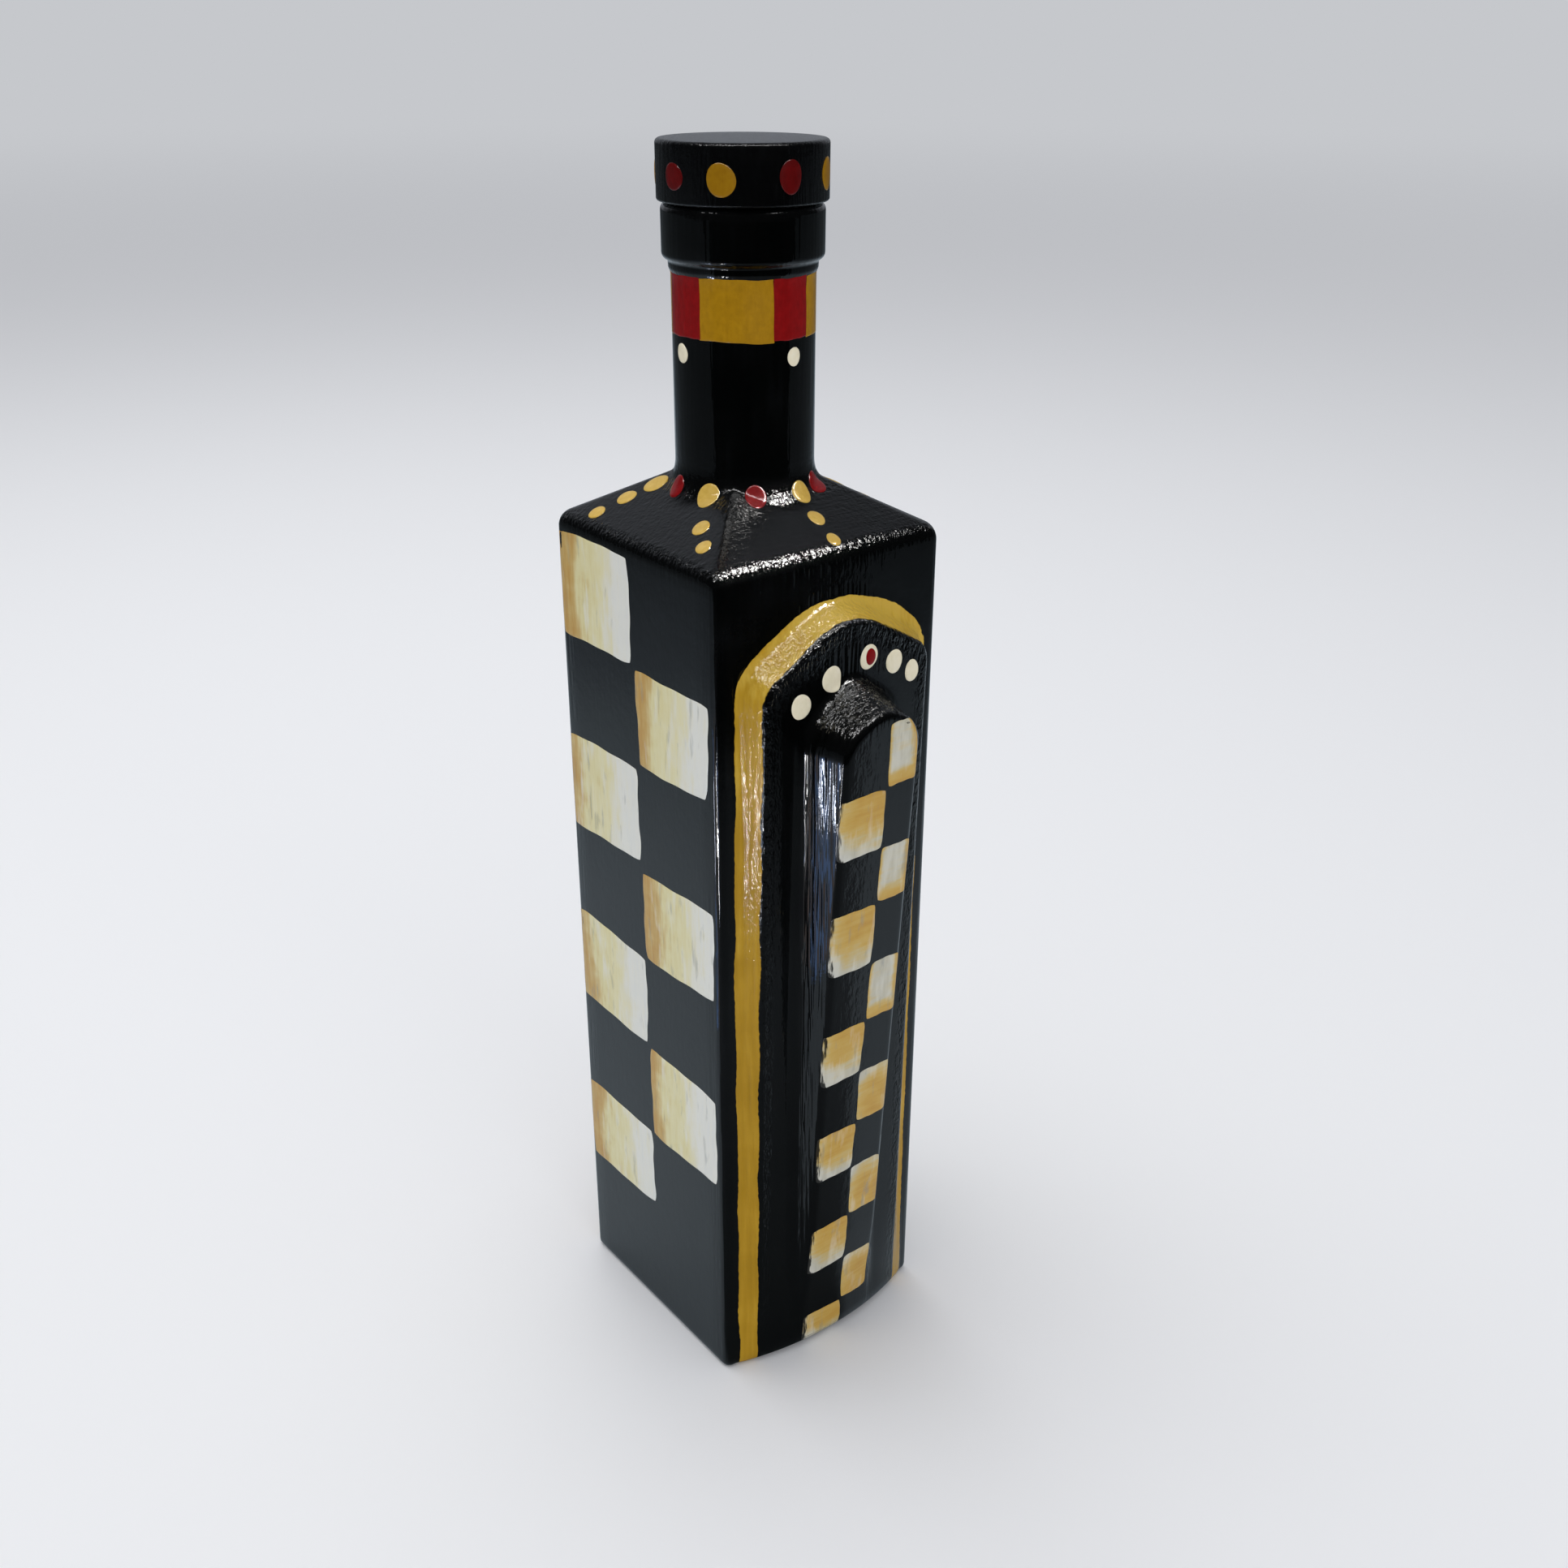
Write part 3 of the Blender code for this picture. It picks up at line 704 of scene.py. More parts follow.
# painted checks, stripes and dots: thin coats of paint that lie on the glass and the cap

def surfaceOf(piece):
    bpy.context.view_layer.update()
    return BVHTree.FromObject(piece, bpy.context.evaluated_depsgraph_get())


glassSurface = surfaceOf(bottle)
capSurface = surfaceOf(capPiece)
needle = {"above": 4, "length": 12}   # mm
edgeLift = -0.03                      # mm: a coat's outermost ring dips under the surface
dotSink = 0.06                        # mm: how far a dot reaches under it
patchWaves = {                        # a drawn edge's waves: share of half a patch, rate, start
    "upright": [(0.014, 3.7, 1), (0.007, 9.3, 3)],
    "level": [(0.014, 3.1, 2), (0.008, 8.1, 5)],
}
dotWaves = [(0.03, 2, 1), (0.02, 3, 2)]
# paint over the rib's edges: how far it leans out on the flanks, and the axis that it fans out from, as a
# share of its place across and in mm behind the face
ribWrap = {"lean": 0.2, "fan": 0.4, "axis": 8.0}


def layOn(surface, place, out, height):
    # the point where a needle pushed against out meets the surface, lifted by height; all in mm
    direction = Vector(out).normalized()
    origin = Vector(place) * mm + direction * needle["above"] * mm
    hit = surface.ray_cast(origin, -direction, needle["length"] * mm)[0]
    if hit is None:
        hit = Vector(place) * mm
    return hit + direction * height * mm


def handDrawn(waves, t, seed):
    return sum(size * math.sin(rate * t + start * seed) for size, rate, start in waves)


def wallPlace(side):
    # plain wall: a runs from front to back along it and round its corners, z up
    def place(a, z):
        beyond = max(abs(a) - flatHalf, 0.0)
        turn = beyond / glass["cornerRadius"]
        flat = math.copysign(min(abs(a), flatHalf), a)
        out = (-math.cos(turn), math.copysign(math.sin(turn), a), 0.0)
        point = (-flatHalf + glass["cornerRadius"] * out[0], flat + glass["cornerRadius"] * out[1], z)
        return (point[0] * side, point[1] * side, z), (out[0] * side, out[1] * side, 0.0)
    return place


def ribPlace(side):
    # rib face: a runs across it and a little way down its flanks
    def place(a, z):
        depth = glass["halfWidth"] + float(ribDepth(z))
        beyond = max(abs(a) - rib["halfWidth"], 0.0)
        x = math.copysign(min(abs(a), rib["halfWidth"]) + beyond * ribWrap["lean"], a)
        back = (a * ribWrap["fan"], -(depth - ribWrap["axis"]))
        out = Vector((x - back[0], -(depth - beyond) - back[1])).normalized()
        return (x * side, -(depth - beyond) * side, z), (out.x * side, out.y * side, 0.0)
    return place


def roundPlace(radius):
    # neck or cap: a is the angle round the axis in degrees
    def place(a, z):
        turn = math.radians(a)
        out = (math.cos(turn), math.sin(turn), 0.0)
        return (out[0] * radius, out[1] * radius, z), out
    return place


def patchSteps(count):
    # from -1 to 1, with a narrow step at either end where the coat turns down to the surface
    return [-1, -0.982] + list(np.linspace(-0.93, 0.93, count - 3)) + [0.982, 1]


def paintedPatch(name, surface, place, corners, brushed, coat=0.05, divisions=(22, 26), rounding=0.035, seed=0.0):
    # corners: top left, top right, bottom right, bottom left, each (a, z); brushed(u, v) gives how pale and
    # how thin the paint is there
    columns, rows = divisions
    acrossSteps, upSteps = patchSteps(columns), patchSteps(rows)
    clearPick()
    bpy.ops.mesh.primitive_grid_add(x_subdivisions=columns, y_subdivisions=rows, size=2)
    piece = bpy.context.object
    piece.name = name
    strokes = []
    for index, vertex in enumerate(piece.data.vertices):
        u, v = acrossSteps[index % (columns + 1)], upSteps[index // (columns + 1)]
        uu = u * (1 - rounding * abs(v) ** 9) + handDrawn(patchWaves["upright"], v, seed) * abs(u) ** 5
        vv = v * (1 - rounding * abs(u) ** 9) + handDrawn(patchWaves["level"], u, seed) * abs(v) ** 5
        left, up = (1 - uu) / 2, (1 + vv) / 2
        weights = (left * up, (1 - left) * up, (1 - left) * (1 - up), left * (1 - up))
        a, z = (sum(w * corner[i] for w, corner in zip(weights, corners)) for i in (0, 1))
        onEdge = max(abs(u), abs(v)) >= 0.99
        vertex.co = layOn(surface, *place(a, z), edgeLift if onEdge else coat)
        strokes.append(brushed(u, v))
    addMarks(piece, {"tone": [tone for tone, _ in strokes], "thin": [thin for _, thin in strokes]})
    return piece


def paintedDot(surface, centre, out, along, size, coat, seed):
    # a squashed ball of paint pressed on the surface; size is its length along and across, in mm
    clearPick()
    bpy.ops.mesh.primitive_uv_sphere_add(segments=32, ring_count=14, radius=1)
    piece = bpy.context.object
    piece.name = "dot"
    normal = Vector(out).normalized()
    first = (Vector(along) - normal * Vector(along).dot(normal)).normalized()
    second = normal.cross(first)
    for vertex in piece.data.vertices:
        x, y, z = vertex.co
        wobble = 1 + handDrawn(dotWaves, math.atan2(y, x), seed)
        spot = Vector(centre) + first * (x * wobble * size[0] / 2) + second * (y * wobble * size[1] / 2)
        lift = coat * (1 - (1 - max(z, 0)) ** 2) if z > 0 else dotSink * z
        vertex.co = layOn(surface, spot, normal, lift)
    return piece


def finishPaint(pieces, name, material, body):
    piece = joinPieces(pieces, name)
    finishShape(piece, 60)
    piece.data.materials.clear()
    piece.data.materials.append(material)
    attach(piece, body)
    print(name, "done")


checkLayers = {
    "bristles": (1.3, 11.0),    # mm wide and long
    "blots": 5.0,
    # dry white strokes dragged over the first coat, grey smudges where the black came through, and scratches
    # that leave it bare at a dry edge: width, length, shift
    "dragged": (2.6, 14.0, 5.0),
    "smudged": (2.2, 11.0, 3.0),
    "scratched": (0.9, 6.0, 1.0),
    "white": "#eeeee6",
    "grey": "#8d918d",
    "ground": "#0b0d0e",
    # noise levels between which each shows, and how much of it at most
    "whiteShows": (0.64, 0.8),
    "greyShows": (0.6, 0.72, 0.45),
    "groundShows": (1.0, 1.12, 0.95),
    "palerGetsWhiter": 0.3,
}


def checkPaint(name, stops, along, streak, blot, washes):
    # ochre, cream and white acrylic brushed side by side while wet: streaks run with the brush, pale paint
    # drags over the ochre, and where it is thin the black ground greys it or shows at a dry edge
    look = {"ior": 1.45, "coat": 0.6, "coatRoughness": 0.12, "coatIor": 1.48, "specular": 0.25, "roughness": 0.35}
    brush = {"strokeWidth": 0.8, "strokeLength": 12.0, "strokeDepth": 0.05, "dabWidth": 2.4, "dabDepth": 0.04,
             "along": along}
    material, tree, shader = startMaterial(name, look)
    place = brushTexture(tree, shader, brush)["place"]
    fine, coarse = (1 / (size * mm) for size in checkLayers["bristles"])
    run = (fine, fine, coarse) if along == "up" else (coarse, fine, fine)
    bristles = stretchedNoise(tree, place, {"Scale": run})
    blots = addNode(tree, "TexNoise", {}, {"Scale": 1 / (checkLayers["blots"] * mm), "Detail": 2.0},
                    {"Vector": place})
    tone = addNode(tree, "Attribute", {"attribute_name": "tone"}).outputs["Fac"]
    streaked = addNode(tree, "Math", {"operation": "MULTIPLY_ADD"}, {1: streak}, {0: bristles, 2: tone})
    blotted = addNode(tree, "Math", {"operation": "MULTIPLY_ADD"}, {1: blot}, {0: blots, 2: streaked})
    level = addNode(tree, "Math", {"operation": "SUBTRACT"}, {1: (streak + blot) / 2}, {0: blotted})
    under = addNode(tree, "ValToRGB", links={"Fac": level}, stops=stops)
    noises = {}
    for key in ("dragged", "smudged", "scratched"):
        wide, long, shift = checkLayers[key]
        noises[key] = stretchedNoise(tree, place, {"Scale": (1 / (wide * mm), 1 / (wide * mm), 1 / (long * mm)),
                                                   "Location": (shift, 2 * shift, shift)})
    whiter = addNode(tree, "Math", {"operation": "MULTIPLY_ADD"}, {1: checkLayers["palerGetsWhiter"]},
                     {0: tone, 2: noises["dragged"]})
    thin = addNode(tree, "Attribute", {"attribute_name": "thin"}).outputs["Fac"]
    dry = addNode(tree, "Math", {"operation": "ADD"}, {}, {0: thin, 1: noises["scratched"]})
    colour = under.outputs["Color"]
    for key, shows, amount in (("white", checkLayers["whiteShows"] + (washes,), whiter),
                               ("grey", checkLayers["greyShows"], noises["smudged"]),
                               ("ground", checkLayers["groundShows"], dry)):
        share = addNode(tree, "MapRange", {}, {"From Min": shows[0], "From Max": shows[1], "To Max": shows[2]},
                        {"Value": amount})
        colour = addNode(tree, "Mix", {"data_type": "RGBA"}, {7: linear(checkLayers[key])},
                         {"Factor": share, 6: colour}).outputs[2]
    tree.links.new(colour, shader.inputs["Base Color"])
    shader.inputs["Roughness"].default_value = look["roughness"]
    return material


def plainPaint(name, darker, middle, paler, coat):
    # thick acrylic dabbed on in one go, glossy, with faint streaks
    look = {"ior": 1.45, "coat": coat, "coatRoughness": 0.08, "coatIor": 1.48, "specular": 0.2, "roughness": 0.3}
    brush = {"strokeWidth": 0.8, "strokeLength": 4.0, "strokeDepth": 0.04, "dabWidth": 1.6, "dabDepth": 0.04}
    material, tree, shader = startMaterial(name, look)
    marks = brushTexture(tree, shader, brush)
    # two parts of the dabs to one of the strokes
    streaks = addNode(tree, "Math", {"operation": "MULTIPLY_ADD"}, {1: 0.5},
                      {0: marks["strokes"], 2: marks["dabs"]})
    level = addNode(tree, "Math", {"operation": "MULTIPLY"}, {1: 0.667}, {0: streaks})
    colour = addNode(tree, "ValToRGB", links={"Fac": level}, stops=[(0.3, darker), (0.5, middle), (0.75, paler)])
    tree.links.new(colour.outputs["Color"], shader.inputs["Base Color"])
    shader.inputs["Roughness"].default_value = look["roughness"]
    return material


wallPaint = checkPaint("creamCheckAcrylic",
                       [(0.0, "#c69c52"), (0.1, "#cdab64"), (0.2, "#d7be80"), (0.34, "#e6dca6"),
                        (0.5, "#ebe4b8"), (0.66, "#eae6cd"), (0.82, "#ecece2"), (1.0, "#e6e8e4")],
                       "up", streak=0.46, blot=0.34, washes=0.55)
ribPaint = checkPaint("ochreCheckAcrylic",
                      [(0.0, "#c29440"), (0.2, "#caa24c"), (0.38, "#cfae60"), (0.55, "#ccb986"),
                       (0.72, "#c6c1ac"), (1.0, "#c0bfb5")],
                      "across", streak=0.5, blot=0.4, washes=0.3)
# three shades from thin to thick, and how much varnish is on them
ochrePaint = plainPaint("ochreAcrylic", "#9f7403", "#a97c04", "#b48609", 0.5)
redPaint = plainPaint("redAcrylic", "#7c0406", "#870508", "#95080c", 0.4)
whitePaint = plainPaint("whiteAcrylic", "#f3eacb", "#faf1d4", "#fdf6de", 0.8)
# the shoulder's ochre dots are painted paler as a painted highlight, since they face up into the light, and all the
# shoulder's dots are glossier; the cap's dots are painted darker, partly as painted shade on its upright side and
# partly where the black shows through
highlitOchrePaint = plainPaint("highlitOchreAcrylic", "#d3ab49", "#dcb654", "#e6c468", 1.0)
brightRedPaint = plainPaint("brightRedAcrylic", "#7d0509", "#88070c", "#960c12", 1.0)
shadedThinOchrePaint = plainPaint("shadedThinOchreAcrylic", "#8f6502", "#976c03", "#a17607", 0.5)
shadedThinRedPaint = plainPaint("shadedThinRedAcrylic", "#520203", "#5b0304", "#690507", 0.5)

# checks on the plain walls: top left, top right, bottom right, bottom left, each (a, z) in mm
wallChecks = [
    [(32.7, 222.8), (1.2, 223.1), (1.1, 196.4), (31.6, 196.0)],
    [(0.2, 195.9), (-30.2, 195.5), (-28.7, 171.4), (-0.8, 170.7)],
    [(32.4, 168.9), (0.6, 169.9), (0.2, 144.0), (31.8, 142.5)],
    [(0.2, 141.3), (-30.5, 142.4), (-30.2, 117.4), (-0.4, 116.0)],
    [(32.4, 117.0), (-0.3, 115.6), (0.2, 89.1), (31.9, 89.5)],
    [(-0.4, 89.0), (-30.1, 87.9), (-30.1, 61.3), (-0.6, 60.5)],
    [(32.3, 60.9), (-0.0, 60.9), (-0.6, 36.4), (31.4, 34.9)],
]


def wallBrushed(seed):
    # ochre at the left, cream in the middle, white at the right, no two alike
    def brushed(u, v):
        edge = u + 0.07 * math.sin(2.3 * v + seed) + 0.1 * math.sin(2.1 * seed)
        tone = np.interp(edge, [-1, -0.8, -0.66, -0.5, 0.1, 0.36, 0.6, 1],
                         [0.02, 0.08, 0.17, 0.36, 0.46, 0.64, 0.84, 0.9])
        return tone, 0.3 * abs(v) ** 12 + 0.2 * abs(u) ** 16
    return brushed


finishPaint([paintedPatch("check", glassSurface, wallPlace(side), corners, wallBrushed(index + 2 * side),
                          seed=1.7 * index + side)
             for side in (1, -1) for index, corners in enumerate(wallChecks)],
            "wallChecks", wallPaint, "bottle")

# checks on the rib, two columns in turn: where each line between rows is, and the columns' edges there, in mm
ribChecks = {
    "levels": [191.2, 173.6, 157.4, 142.2, 124.6, 107.3, 91.2, 74.8, 59.6, 42.9, 27.0, 11.1, 0.9],
    "middle": [1.3, 1.9, 1.8, 1.7, 1.6, 1.4, 0.8, 1.1, 0.6, 1.1, 1.0, 1.3, 1.3],
    "left": [-10.4, -12.3, -12.4, -12.6, -12.4, -12.6, -12.4, -12.2, -11.6, -11.5, -12.4, -12.3, -12.6],
    "right": [11.4, 11.9, 11.5, 11.1, 11.3, 11.6, 11.2, 11.3, 11.0, 11.2, 11.3, 11.5, 11.4],
    "first": [(1.6, 190.6), (9.6, 190.0), (11.7, 174.2), (2.2, 173.6)],
    "whiteRows": 5,
}


def upperRightBrushed(u, v):
    # grey white in the middle, ochre along the right and the bottom
    edge = max(np.interp(u, [-1, -0.9, -0.75, 0.45, 0.8, 1], [0.6, 0.4, 0, 0, 0.8, 1]),
               np.interp(v, [-1, -0.75, -0.4, 1], [1, 0.8, 0, 0]))
    return 0.74 - 0.6 * edge, 0.0


def lowerRightBrushed(u, v):
    # ochre, paler at the top left
    pale = np.interp(v, [-1, 0.3, 1], [0, 0.1, 0.8]) + np.interp(u, [-1, -0.4, 1], [0.35, 0, -0.1])
    return 0.2 + 0.6 * pale, 0.1


def leftBrushed(u, v):
    # ochre, fading into grey white at the bottom and dry at the left
    pale = (np.interp(v, [-1, -0.5, 0.1, 1], [1, 0.55, 0, 0])
            + np.interp(u, [-1, -0.6, -0.2, 1], [0.5, 0.25, 0, 0]))
    thin = (np.interp(u, [-1, -0.9, -0.72, -0.55, 1], [0.68, 0.55, 0.38, 0, 0])
            + np.interp(v, [-1, -0.8, 1], [0.3, 0, 0]))
    return 0.2 + 0.62 * pale, thin


def ribCheck(side, index):
    if index % 2 == 0:
        near, far = ribChecks["middle"], ribChecks["right"]
        brushed = upperRightBrushed if index < ribChecks["whiteRows"] else lowerRightBrushed
    else:
        near, far, brushed = ribChecks["left"], ribChecks["middle"], leftBrushed
    high, low = ribChecks["levels"][index:index + 2]
    corners = [(near[index], high), (far[index], high), (far[index + 1], low), (near[index + 1], low)]
    return paintedPatch("check", glassSurface, ribPlace(side), corners if index else ribChecks["first"], brushed,
                        coat=0.055, divisions=(20, 18), rounding=0.06, seed=2.3 * index + side)


finishPaint([ribCheck(side, index) for side in (1, -1) for index in range(len(ribChecks["levels"]) - 1)],
            "ribChecks", ribPaint, "bottle")

# stripes round the neck, ochre and red in turn: degrees round the axis, and mm up
neckStripes = {
    "angles": [155.2, 196.9, 256.7, 290.6, 350.0, 387.0, 445.0, 478.0, 515.2],
    "high": 284.1,
    "low": 270.8,
    "wider": (0.6, 0.8),   # at the foot, before its start and past its end
    "ochreLower": 0.4,     # at an ochre stripe's far corner
}


def neckStripe(index, lower):
    (start, end), (before, past) = neckStripes["angles"][index:index + 2], neckStripes["wider"]
    high, low = neckStripes["high"], neckStripes["low"]
    corners = [(start, high), (end, high), (end + past, low - lower), (start - before, low)]
    return paintedPatch("stripe", glassSurface, roundPlace(glass["neckRadius"]), corners, lambda u, v: (0.5, 0.0),
                        divisions=(26, 8), rounding=0.0, seed=index * 1.3)


finishPaint([neckStripe(index, 0.0) for index in range(0, 8, 2)],
            "redNeckStripes", redPaint, "bottle")
finishPaint([neckStripe(index, neckStripes["ochreLower"]) for index in range(1, 8, 2)],
            "ochreNeckStripes", ochrePaint, "bottle")

# dots on the neck and the cap: (angle, height, across, up)
neckDots = [(175.6, 267.2, 4.05, 4.35), (275.8, 267.0, 3.87, 4.1), (5.6, 267.1, 4.05, 4.26),
            (85.8, 267.2, 3.96, 4.18)]
capDots = {
    "red": [(182.7, 304.7, 5.82, 5.6), (265.3, 305.0, 5.64, 6.88), (352.5, 304.9, 5.73, 6.4),
            (87.6, 304.8, 5.73, 6.08)],
    "ochre": [(219.1, 304.5, 6.46, 6.88), (305.0, 304.9, 6.01, 6.72), (40.0, 304.8, 6.28, 6.56),
              (135.1, 304.7, 6.19, 6.64)],
}
# how thick the dots stand, in mm
dotCoats = {"neck": 0.3, "cap": 0.25, "shoulder": 0.28, "panel": 0.22, "panelCentre": 0.42}


def dotsRound(dots, radius, surface, coat):
    pieces = []
    for index, (angle, height, across, up) in enumerate(dots):
        spot, out = roundPlace(radius)(angle, height)
        pieces.append(paintedDot(surface, spot, out, (0, 0, 1), (up, across), coat, index * 1.9))
    return pieces


finishPaint(dotsRound(neckDots, glass["neckRadius"], glassSurface, dotCoats["neck"]),
            "whiteNeckDots", whitePaint, "bottle")
# the cap's dots are darker: painted shade on the cap's upright side, and the black showing through
finishPaint(dotsRound(capDots["red"], cap["radius"], capSurface, dotCoats["cap"]),
            "redCapDots", shadedThinRedPaint, "stopper")
finishPaint(dotsRound(capDots["ochre"], cap["radius"], capSurface, dotCoats["cap"]),
            "ochreCapDots", shadedThinOchrePaint, "stopper")

# shoulder: six lines of three ochre dots and six red dots between them, half of them here and the rest
# opposite: (x, y, z, along, across)
shoulderDots = {
    "ochre": [(2.7, -16.6, 235.6, 5.6, 5.2), (2.6, -23.6, 231.5, 4.6, 4.0), (2.6, -29.9, 228.0, 3.9, 3.4),
              (-15.9, -7.4, 236.0, 6.2, 5.4), (-23.3, -14.5, 231.7, 5.0, 4.3), (-27.2, -20.8, 229.5, 4.3, 4.0),
              (-17.1, 12.3, 235.2, 6.4, 5.4), (-22.9, 16.4, 232.0, 5.2, 4.6), (-29.0, 20.2, 228.5, 4.6, 4.1)],
    "red": [(-16.5, 2.7, 235.9, 5.6, 5.0), (-8.6, -15.3, 236.2, 5.6, 5.2), (8.8, -14.6, 236.6, 5.6, 5.0)],
}


def dotsOnShoulder(spots):
    pieces = []
    opposite = [(-x, -y, z, along, across) for x, y, z, along, across in spots]
    for index, (x, y, z, along, across) in enumerate(spots + opposite):
        hit, normal, _, _ = glassSurface.find_nearest(Vector((x, y, z)) * mm)
        away = Vector((x, y, 0)).normalized()
        pieces.append(paintedDot(glassSurface, hit / mm, normal, away - Vector((0, 0, 0.5)), (along, across),
                                 dotCoats["shoulder"], index * 1.3))
    return pieces


# the shoulder's ochre dots take the paler ochre, a painted highlight where they face up into the light
finishPaint(dotsOnShoulder(shoulderDots["ochre"]), "ochreShoulderDots", highlitOchrePaint, "bottle")
finishPaint(dotsOnShoulder(shoulderDots["red"]), "redShoulderDots", brightRedPaint, "bottle")

# panel: five pale dots over the rib, the middle one with a red centre: (x, z, across, up)
panelDots = [(-14.6, 194.4, 5.7, 6.2), (-5.8, 199.1, 5.7, 6.2), (5.2, 202.0, 5.2, 6.2), (13.2, 199.0, 4.9, 6.2),
             (19.0, 195.3, 4.3, 5.6)]
redCentre = [(5.6, 202.0, 3.1, 4.4)]


def dotsOnPanel(dots, coat):
    pieces = []
    for side in (1, -1):
        for index, (x, z, across, up) in enumerate(dots):
            depth = glass["halfWidth"] + float(panelDepth(z))
            pieces.append(paintedDot(glassSurface, (x * side, -depth * side, z), (0, -side, 0), (0, 0, 1),
                                     (up, across), coat, index * 1.7))
    return pieces


finishPaint(dotsOnPanel(panelDots, dotCoats["panel"]), "palePanelDots", whitePaint, "bottle")
finishPaint(dotsOnPanel(redCentre, dotCoats["panelCentre"]), "redPanelDots", redPaint, "bottle")


# camera, floor and light

cameraView = {"lens": 37.139, "sensor": 36.0, "clipStart": 0.01, "location": (-0.22725, -0.30266, 0.33542),
              "azimuth": -38.34, "elevation": 25.37, "roll": 0.19}
cameraData = bpy.data.cameras.new("camera")
cameraData.lens = cameraView["lens"]
cameraData.sensor_width = cameraView["sensor"]
cameraData.clip_start = cameraView["clipStart"]
camera = bpy.data.objects.new("camera", cameraData)
bpy.context.scene.collection.objects.link(camera)
camera.matrix_world = (
    Matrix.Translation(cameraView["location"])
    @ Matrix.Rotation(math.radians(cameraView["azimuth"]), 4, "Z")
    @ Matrix.Rotation(math.radians(90 - cameraView["elevation"]), 4, "X")
    @ Matrix.Rotation(math.radians(cameraView["roll"]), 4, "Z"))
bpy.context.scene.camera = camera

studio = {
    "floorSize": 80.0,
    "floor": "#f3f4f6",
    "farFloor": "#c6c8cc",      # what the floor fades to far away, so that no horizon shows
    "fade": (0.8, 6.0),         # metres from the bottle
    "darkFloor": "#202224",     # what the bottle gets light from, further off than bounceReach
    "bounceReach": (0.35, 0.9),
    "bounceDark": 0.35,         # how much of the dark floor it sees there
    "ambientColour": "#fafbff",
    "ambient": (0.46, 0.64),    # towards the dim side and the bright side of the room
    "brightRoom": (-0.35, 0.94, 0.0),
    "skyColour": "#dfe5f0",
    "mirrorSky": (0.02, 0.4),   # all round, and in the middle of skyDirection
    "skyStart": 0.45,           # cosine of the angle from skyDirection at which it starts to brighten
    "skyDirection": (0.52, 0.72, 0.46),
    # the varnish sees a bright floor on the far side of a line under the bottle and beside the bottle, and a
    # dim one on the camera's side
    "edgeDirection": (0.753, 0.659, 0.0),
    "edgeOffset": 0.0263,
    "besideOffset": 0.036,
    "edgeBlur": 0.005,
    "sideDirection": (0.8, -0.6, 0.0),
    # colours: at metres to either side of the view, and at metres from the bottle in front
    "brightSide": [(0.0, "#aab6be"), (0.26, "#aab6be"), (0.3, "#a5b1b9"), (0.43, "#909ca3"), (0.5, "#78828a"),
                   (0.7, "#5b6368"), (1.0, "#545a5d")],
    "dimSide": [(0.0, "#545a5d"), (0.1, "#545a5d"), (0.15, "#5f6569"), (0.2, "#666d72"), (0.25, "#5f6569"),
                (0.35, "#585e62"), (0.39, "#4a4f52"), (0.45, "#1d1e20"), (0.5, "#101112"), (0.6, "#000000")],
}


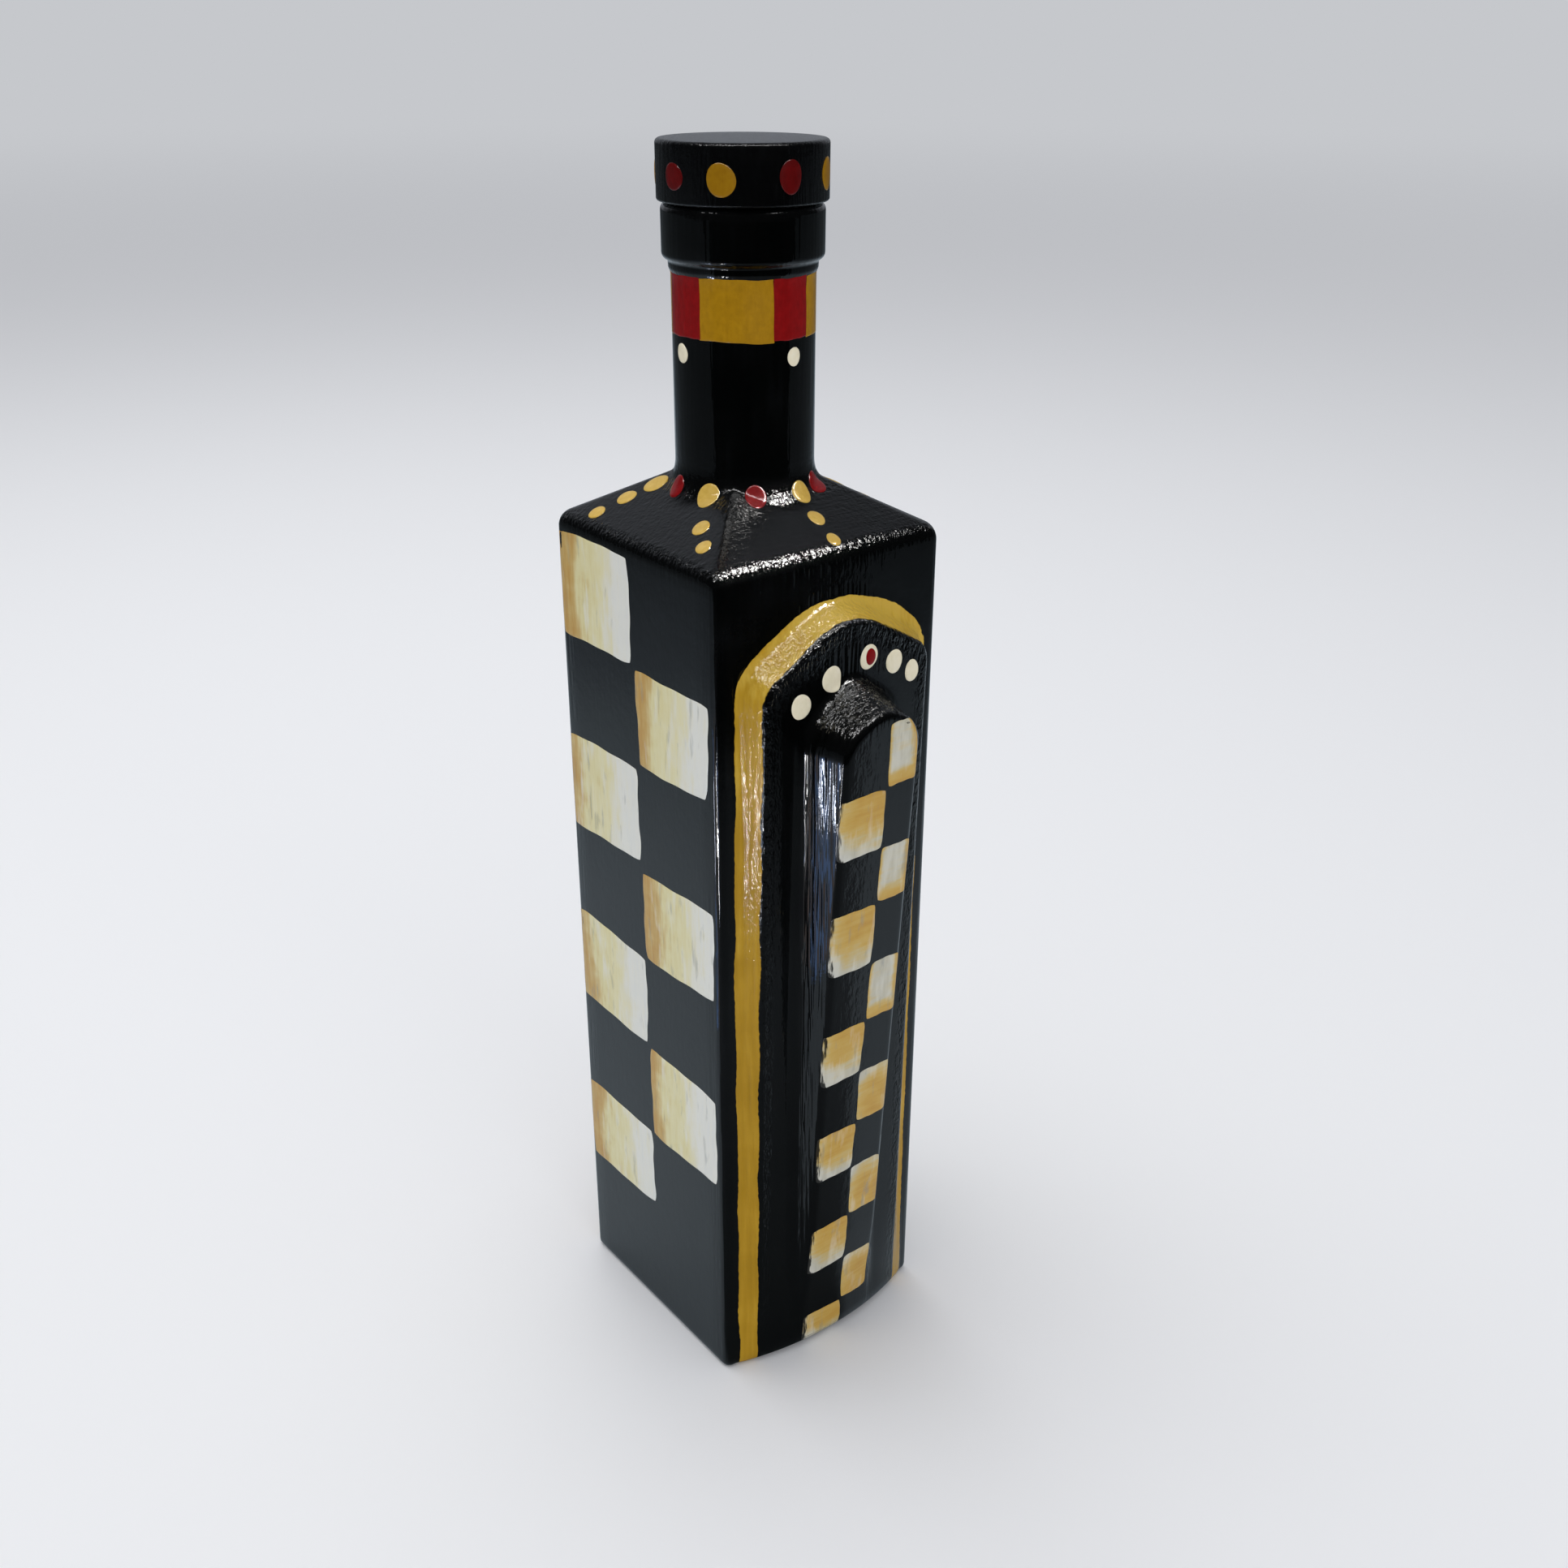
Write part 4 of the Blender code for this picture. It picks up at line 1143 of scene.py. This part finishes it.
def floorPaper():
    # matt white paper; far off it fades into the backdrop, light that it throws back at the bottle comes
    # mostly from close by, and what the varnish mirrors is a darker floor with a bright side
    material = bpy.data.materials.new("paperSweep")
    material.use_nodes = True
    tree = material.node_tree
    paper = tree.nodes["Principled BSDF"]
    paper.inputs["Base Color"].default_value = linear(studio["floor"])
    paper.inputs["Roughness"].default_value = 0.9
    paper.inputs["Specular IOR Level"].default_value = 0.0
    soft = {"interpolation_type": "SMOOTHSTEP"}
    (fadeStart, fadeEnd), (nearEnd, farStart) = studio["fade"], studio["bounceReach"]
    where = addNode(tree, "TexCoord").outputs["Object"]
    rays = addNode(tree, "LightPath").outputs
    reach = addNode(tree, "VectorMath", {"operation": "LENGTH"}, {}, {0: where}).outputs["Value"]
    beyond = addNode(tree, "VectorMath", {"operation": "DOT_PRODUCT"}, {1: studio["edgeDirection"]}, {0: where})
    pastLine = addNode(tree, "Math", {"operation": "ADD"}, {1: studio["edgeOffset"]}, {0: beyond.outputs["Value"]})
    alongY = addNode(tree, "SeparateXYZ", links={"Vector": where}).outputs["Y"]
    beside = addNode(tree, "Math", {"operation": "ADD"}, {1: studio["besideOffset"]}, {0: alongY})
    either = addNode(tree, "Math", {"operation": "MAXIMUM"}, {}, {0: pastLine, 1: beside})
    farSide = addNode(tree, "MapRange", soft, {"From Max": studio["edgeBlur"]}, {"Value": either})
    sideways = addNode(tree, "VectorMath", {"operation": "DOT_PRODUCT"}, {1: studio["sideDirection"]}, {0: where})
    sideReach = addNode(tree, "Math", {"operation": "ABSOLUTE"}, {}, {0: sideways.outputs["Value"]})
    bright = addNode(tree, "ValToRGB", links={"Fac": sideReach}, stops=studio["brightSide"])
    dim = addNode(tree, "ValToRGB", links={"Fac": reach}, stops=studio["dimSide"])
    level = addNode(tree, "Mix", {"data_type": "RGBA"}, {}, {"Factor": farSide, 6: dim, 7: bright})
    seen = addNode(tree, "BsdfDiffuse", links={"Color": level.outputs[2]})
    distant = addNode(tree, "MapRange", soft, {"From Min": fadeStart, "From Max": fadeEnd}, {"Value": reach})
    haze = addNode(tree, "Emission", {}, {"Color": linear(studio["farFloor"]), "Strength": 1.0})
    ground = addNode(tree, "MixShader", {}, {}, {0: distant, 1: paper, 2: haze})
    away = addNode(tree, "MapRange", soft,
                   {"From Min": nearEnd, "From Max": farStart, "To Max": studio["bounceDark"]}, {"Value": reach})
    bounced = addNode(tree, "Math", {"operation": "MULTIPLY"}, {}, {0: away, 1: rays["Is Diffuse Ray"]})
    dark = addNode(tree, "BsdfDiffuse", {}, {"Color": linear(studio["darkFloor"])})
    lit = addNode(tree, "MixShader", {}, {}, {0: bounced, 1: ground, 2: dark})
    choose = addNode(tree, "MixShader", {}, {}, {0: rays["Is Glossy Ray"], 1: lit, 2: seen})
    tree.links.new(choose.outputs[0], tree.nodes["Material Output"].inputs["Surface"])
    return material


def studioWorld():
    # the camera sees the backdrop, the bottle is lit by a soft ambient light, and the varnish sees the room:
    # bright low down behind the bottle, dark overhead and behind the camera
    world = bpy.data.worlds.new("studio")
    world.use_nodes = True
    tree = world.node_tree
    tree.nodes.clear()
    towards = addNode(tree, "TexCoord").outputs["Generated"]
    rays = addNode(tree, "LightPath").outputs
    backdrop = addNode(tree, "Background", {}, {"Color": linear(studio["farFloor"]), "Strength": 1.0})
    room = addNode(tree, "VectorMath", {"operation": "DOT_PRODUCT"}, {1: studio["brightRoom"]}, {0: towards})
    dimmest, brightest = studio["ambient"]
    roomLevel = addNode(tree, "MapRange", {}, {"From Min": -1.0, "To Min": dimmest, "To Max": brightest},
                        {"Value": room.outputs["Value"]})
    ambient = addNode(tree, "Background", {}, {"Color": linear(studio["ambientColour"])}, {"Strength": roomLevel})
    sky = addNode(tree, "VectorMath", {"operation": "DOT_PRODUCT"}, {1: studio["skyDirection"]}, {0: towards})
    faintest, strongest = studio["mirrorSky"]
    skyLevel = addNode(tree, "MapRange", {"interpolation_type": "SMOOTHSTEP"},
                       {"From Min": studio["skyStart"], "To Min": faintest, "To Max": strongest},
                       {"Value": sky.outputs["Value"]})
    mirrored = addNode(tree, "Background", {}, {"Color": linear(studio["skyColour"])}, {"Strength": skyLevel})
    unmirrored = addNode(tree, "MixShader", {}, {}, {0: rays["Is Camera Ray"], 1: ambient, 2: backdrop})
    surface = addNode(tree, "MixShader", {}, {}, {0: rays["Is Glossy Ray"], 1: unmirrored, 2: mirrored})
    addNode(tree, "OutputWorld", links={"Surface": surface})
    return world


clearPick()
bpy.ops.mesh.primitive_plane_add(size=studio["floorSize"])
floor = bpy.context.object
floor.name = "floor"
floor.data.materials.append(floorPaper())
bpy.context.scene.world = studioWorld()

# area lights: power in watts, width and height in metres, turn and spread in degrees, and whether the varnish
# mirrors it instead of being lit by it
lampPlain = {"turn": 0, "spread": 180, "colour": "#ffffff", "mirrored": True}
lamps = {
    "overhead": {"power": 9.0, "size": (1.3, 1.3), "location": (-0.08, 0.42, 1.35), "aim": (0, 0, 0.1),
                 "mirrored": False},
    "frontFill": {"power": 3.2, "size": (1.0, 1.0), "location": (-0.25, -1.1, 0.55), "aim": (0, 0, 0.12),
                  "mirrored": False},
    "creaseCard": {"power": 0.028, "size": (0.034, 0.03), "location": (0.031, -0.0845, 0.308),
                   "aim": (-0.026, -0.033, 0.226), "spread": 44, "colour": "#fffdfa"},
    "overTube": {"power": 16.0, "size": (2.0, 0.22), "location": (-0.30, -0.40, 1.45),
                 "aim": (-0.30, -0.40, 0), "turn": -37},
    "bandCard": {"power": 0.06, "size": (0.003, 0.055), "location": (-0.2275, -0.0788, 0.06),
                 "aim": (-0.026, -0.036, 0.16)},
    "rimCard": {"power": 0.015, "size": (0.004, 0.07), "location": (-0.2315, -0.105, 0.06),
                "aim": (-0.0205, -0.037, 0.16), "colour": "#b4ccff"},
    "ribCard": {"power": 0.02, "size": (0.028, 0.11), "location": (-0.196, 0.034, 0.055),
                "aim": (-0.013, -0.045, 0.1), "colour": "#5e90dc"},
    "ribCore": {"power": 0.04, "size": (0.006, 0.036), "location": (-0.192, 0.042, 0.078),
                "aim": (-0.013, -0.045, 0.1), "colour": "#e6eeff"},
    "woodCard": {"power": 0.008, "size": (0.02, 0.11), "location": (-0.204, -0.0045, 0.06),
                 "aim": (-0.013, -0.045, 0.1), "colour": "#a06a38"},
}
for name, given in lamps.items():
    lamp = dict(lampPlain, **given)
    data = bpy.data.lights.new(name, "AREA")
    data.energy = lamp["power"]
    data.color = linear(lamp["colour"])[:3]
    data.shape = "RECTANGLE"
    data.size, data.size_y = lamp["size"]
    data.spread = math.radians(lamp["spread"])
    light = bpy.data.objects.new(name, data)
    bpy.context.scene.collection.objects.link(light)
    light.location = lamp["location"]
    facing = (Vector(lamp["aim"]) - Vector(lamp["location"])).to_track_quat("-Z", "Y")
    light.rotation_euler = (facing @ Quaternion((0, 0, 1), math.radians(lamp["turn"]))).to_euler()
    light.visible_camera = False
    light.visible_diffuse = not lamp["mirrored"]
    light.visible_glossy = lamp["mirrored"]
bpy.context.scene.view_settings.view_transform = "Standard"
print("studio done")
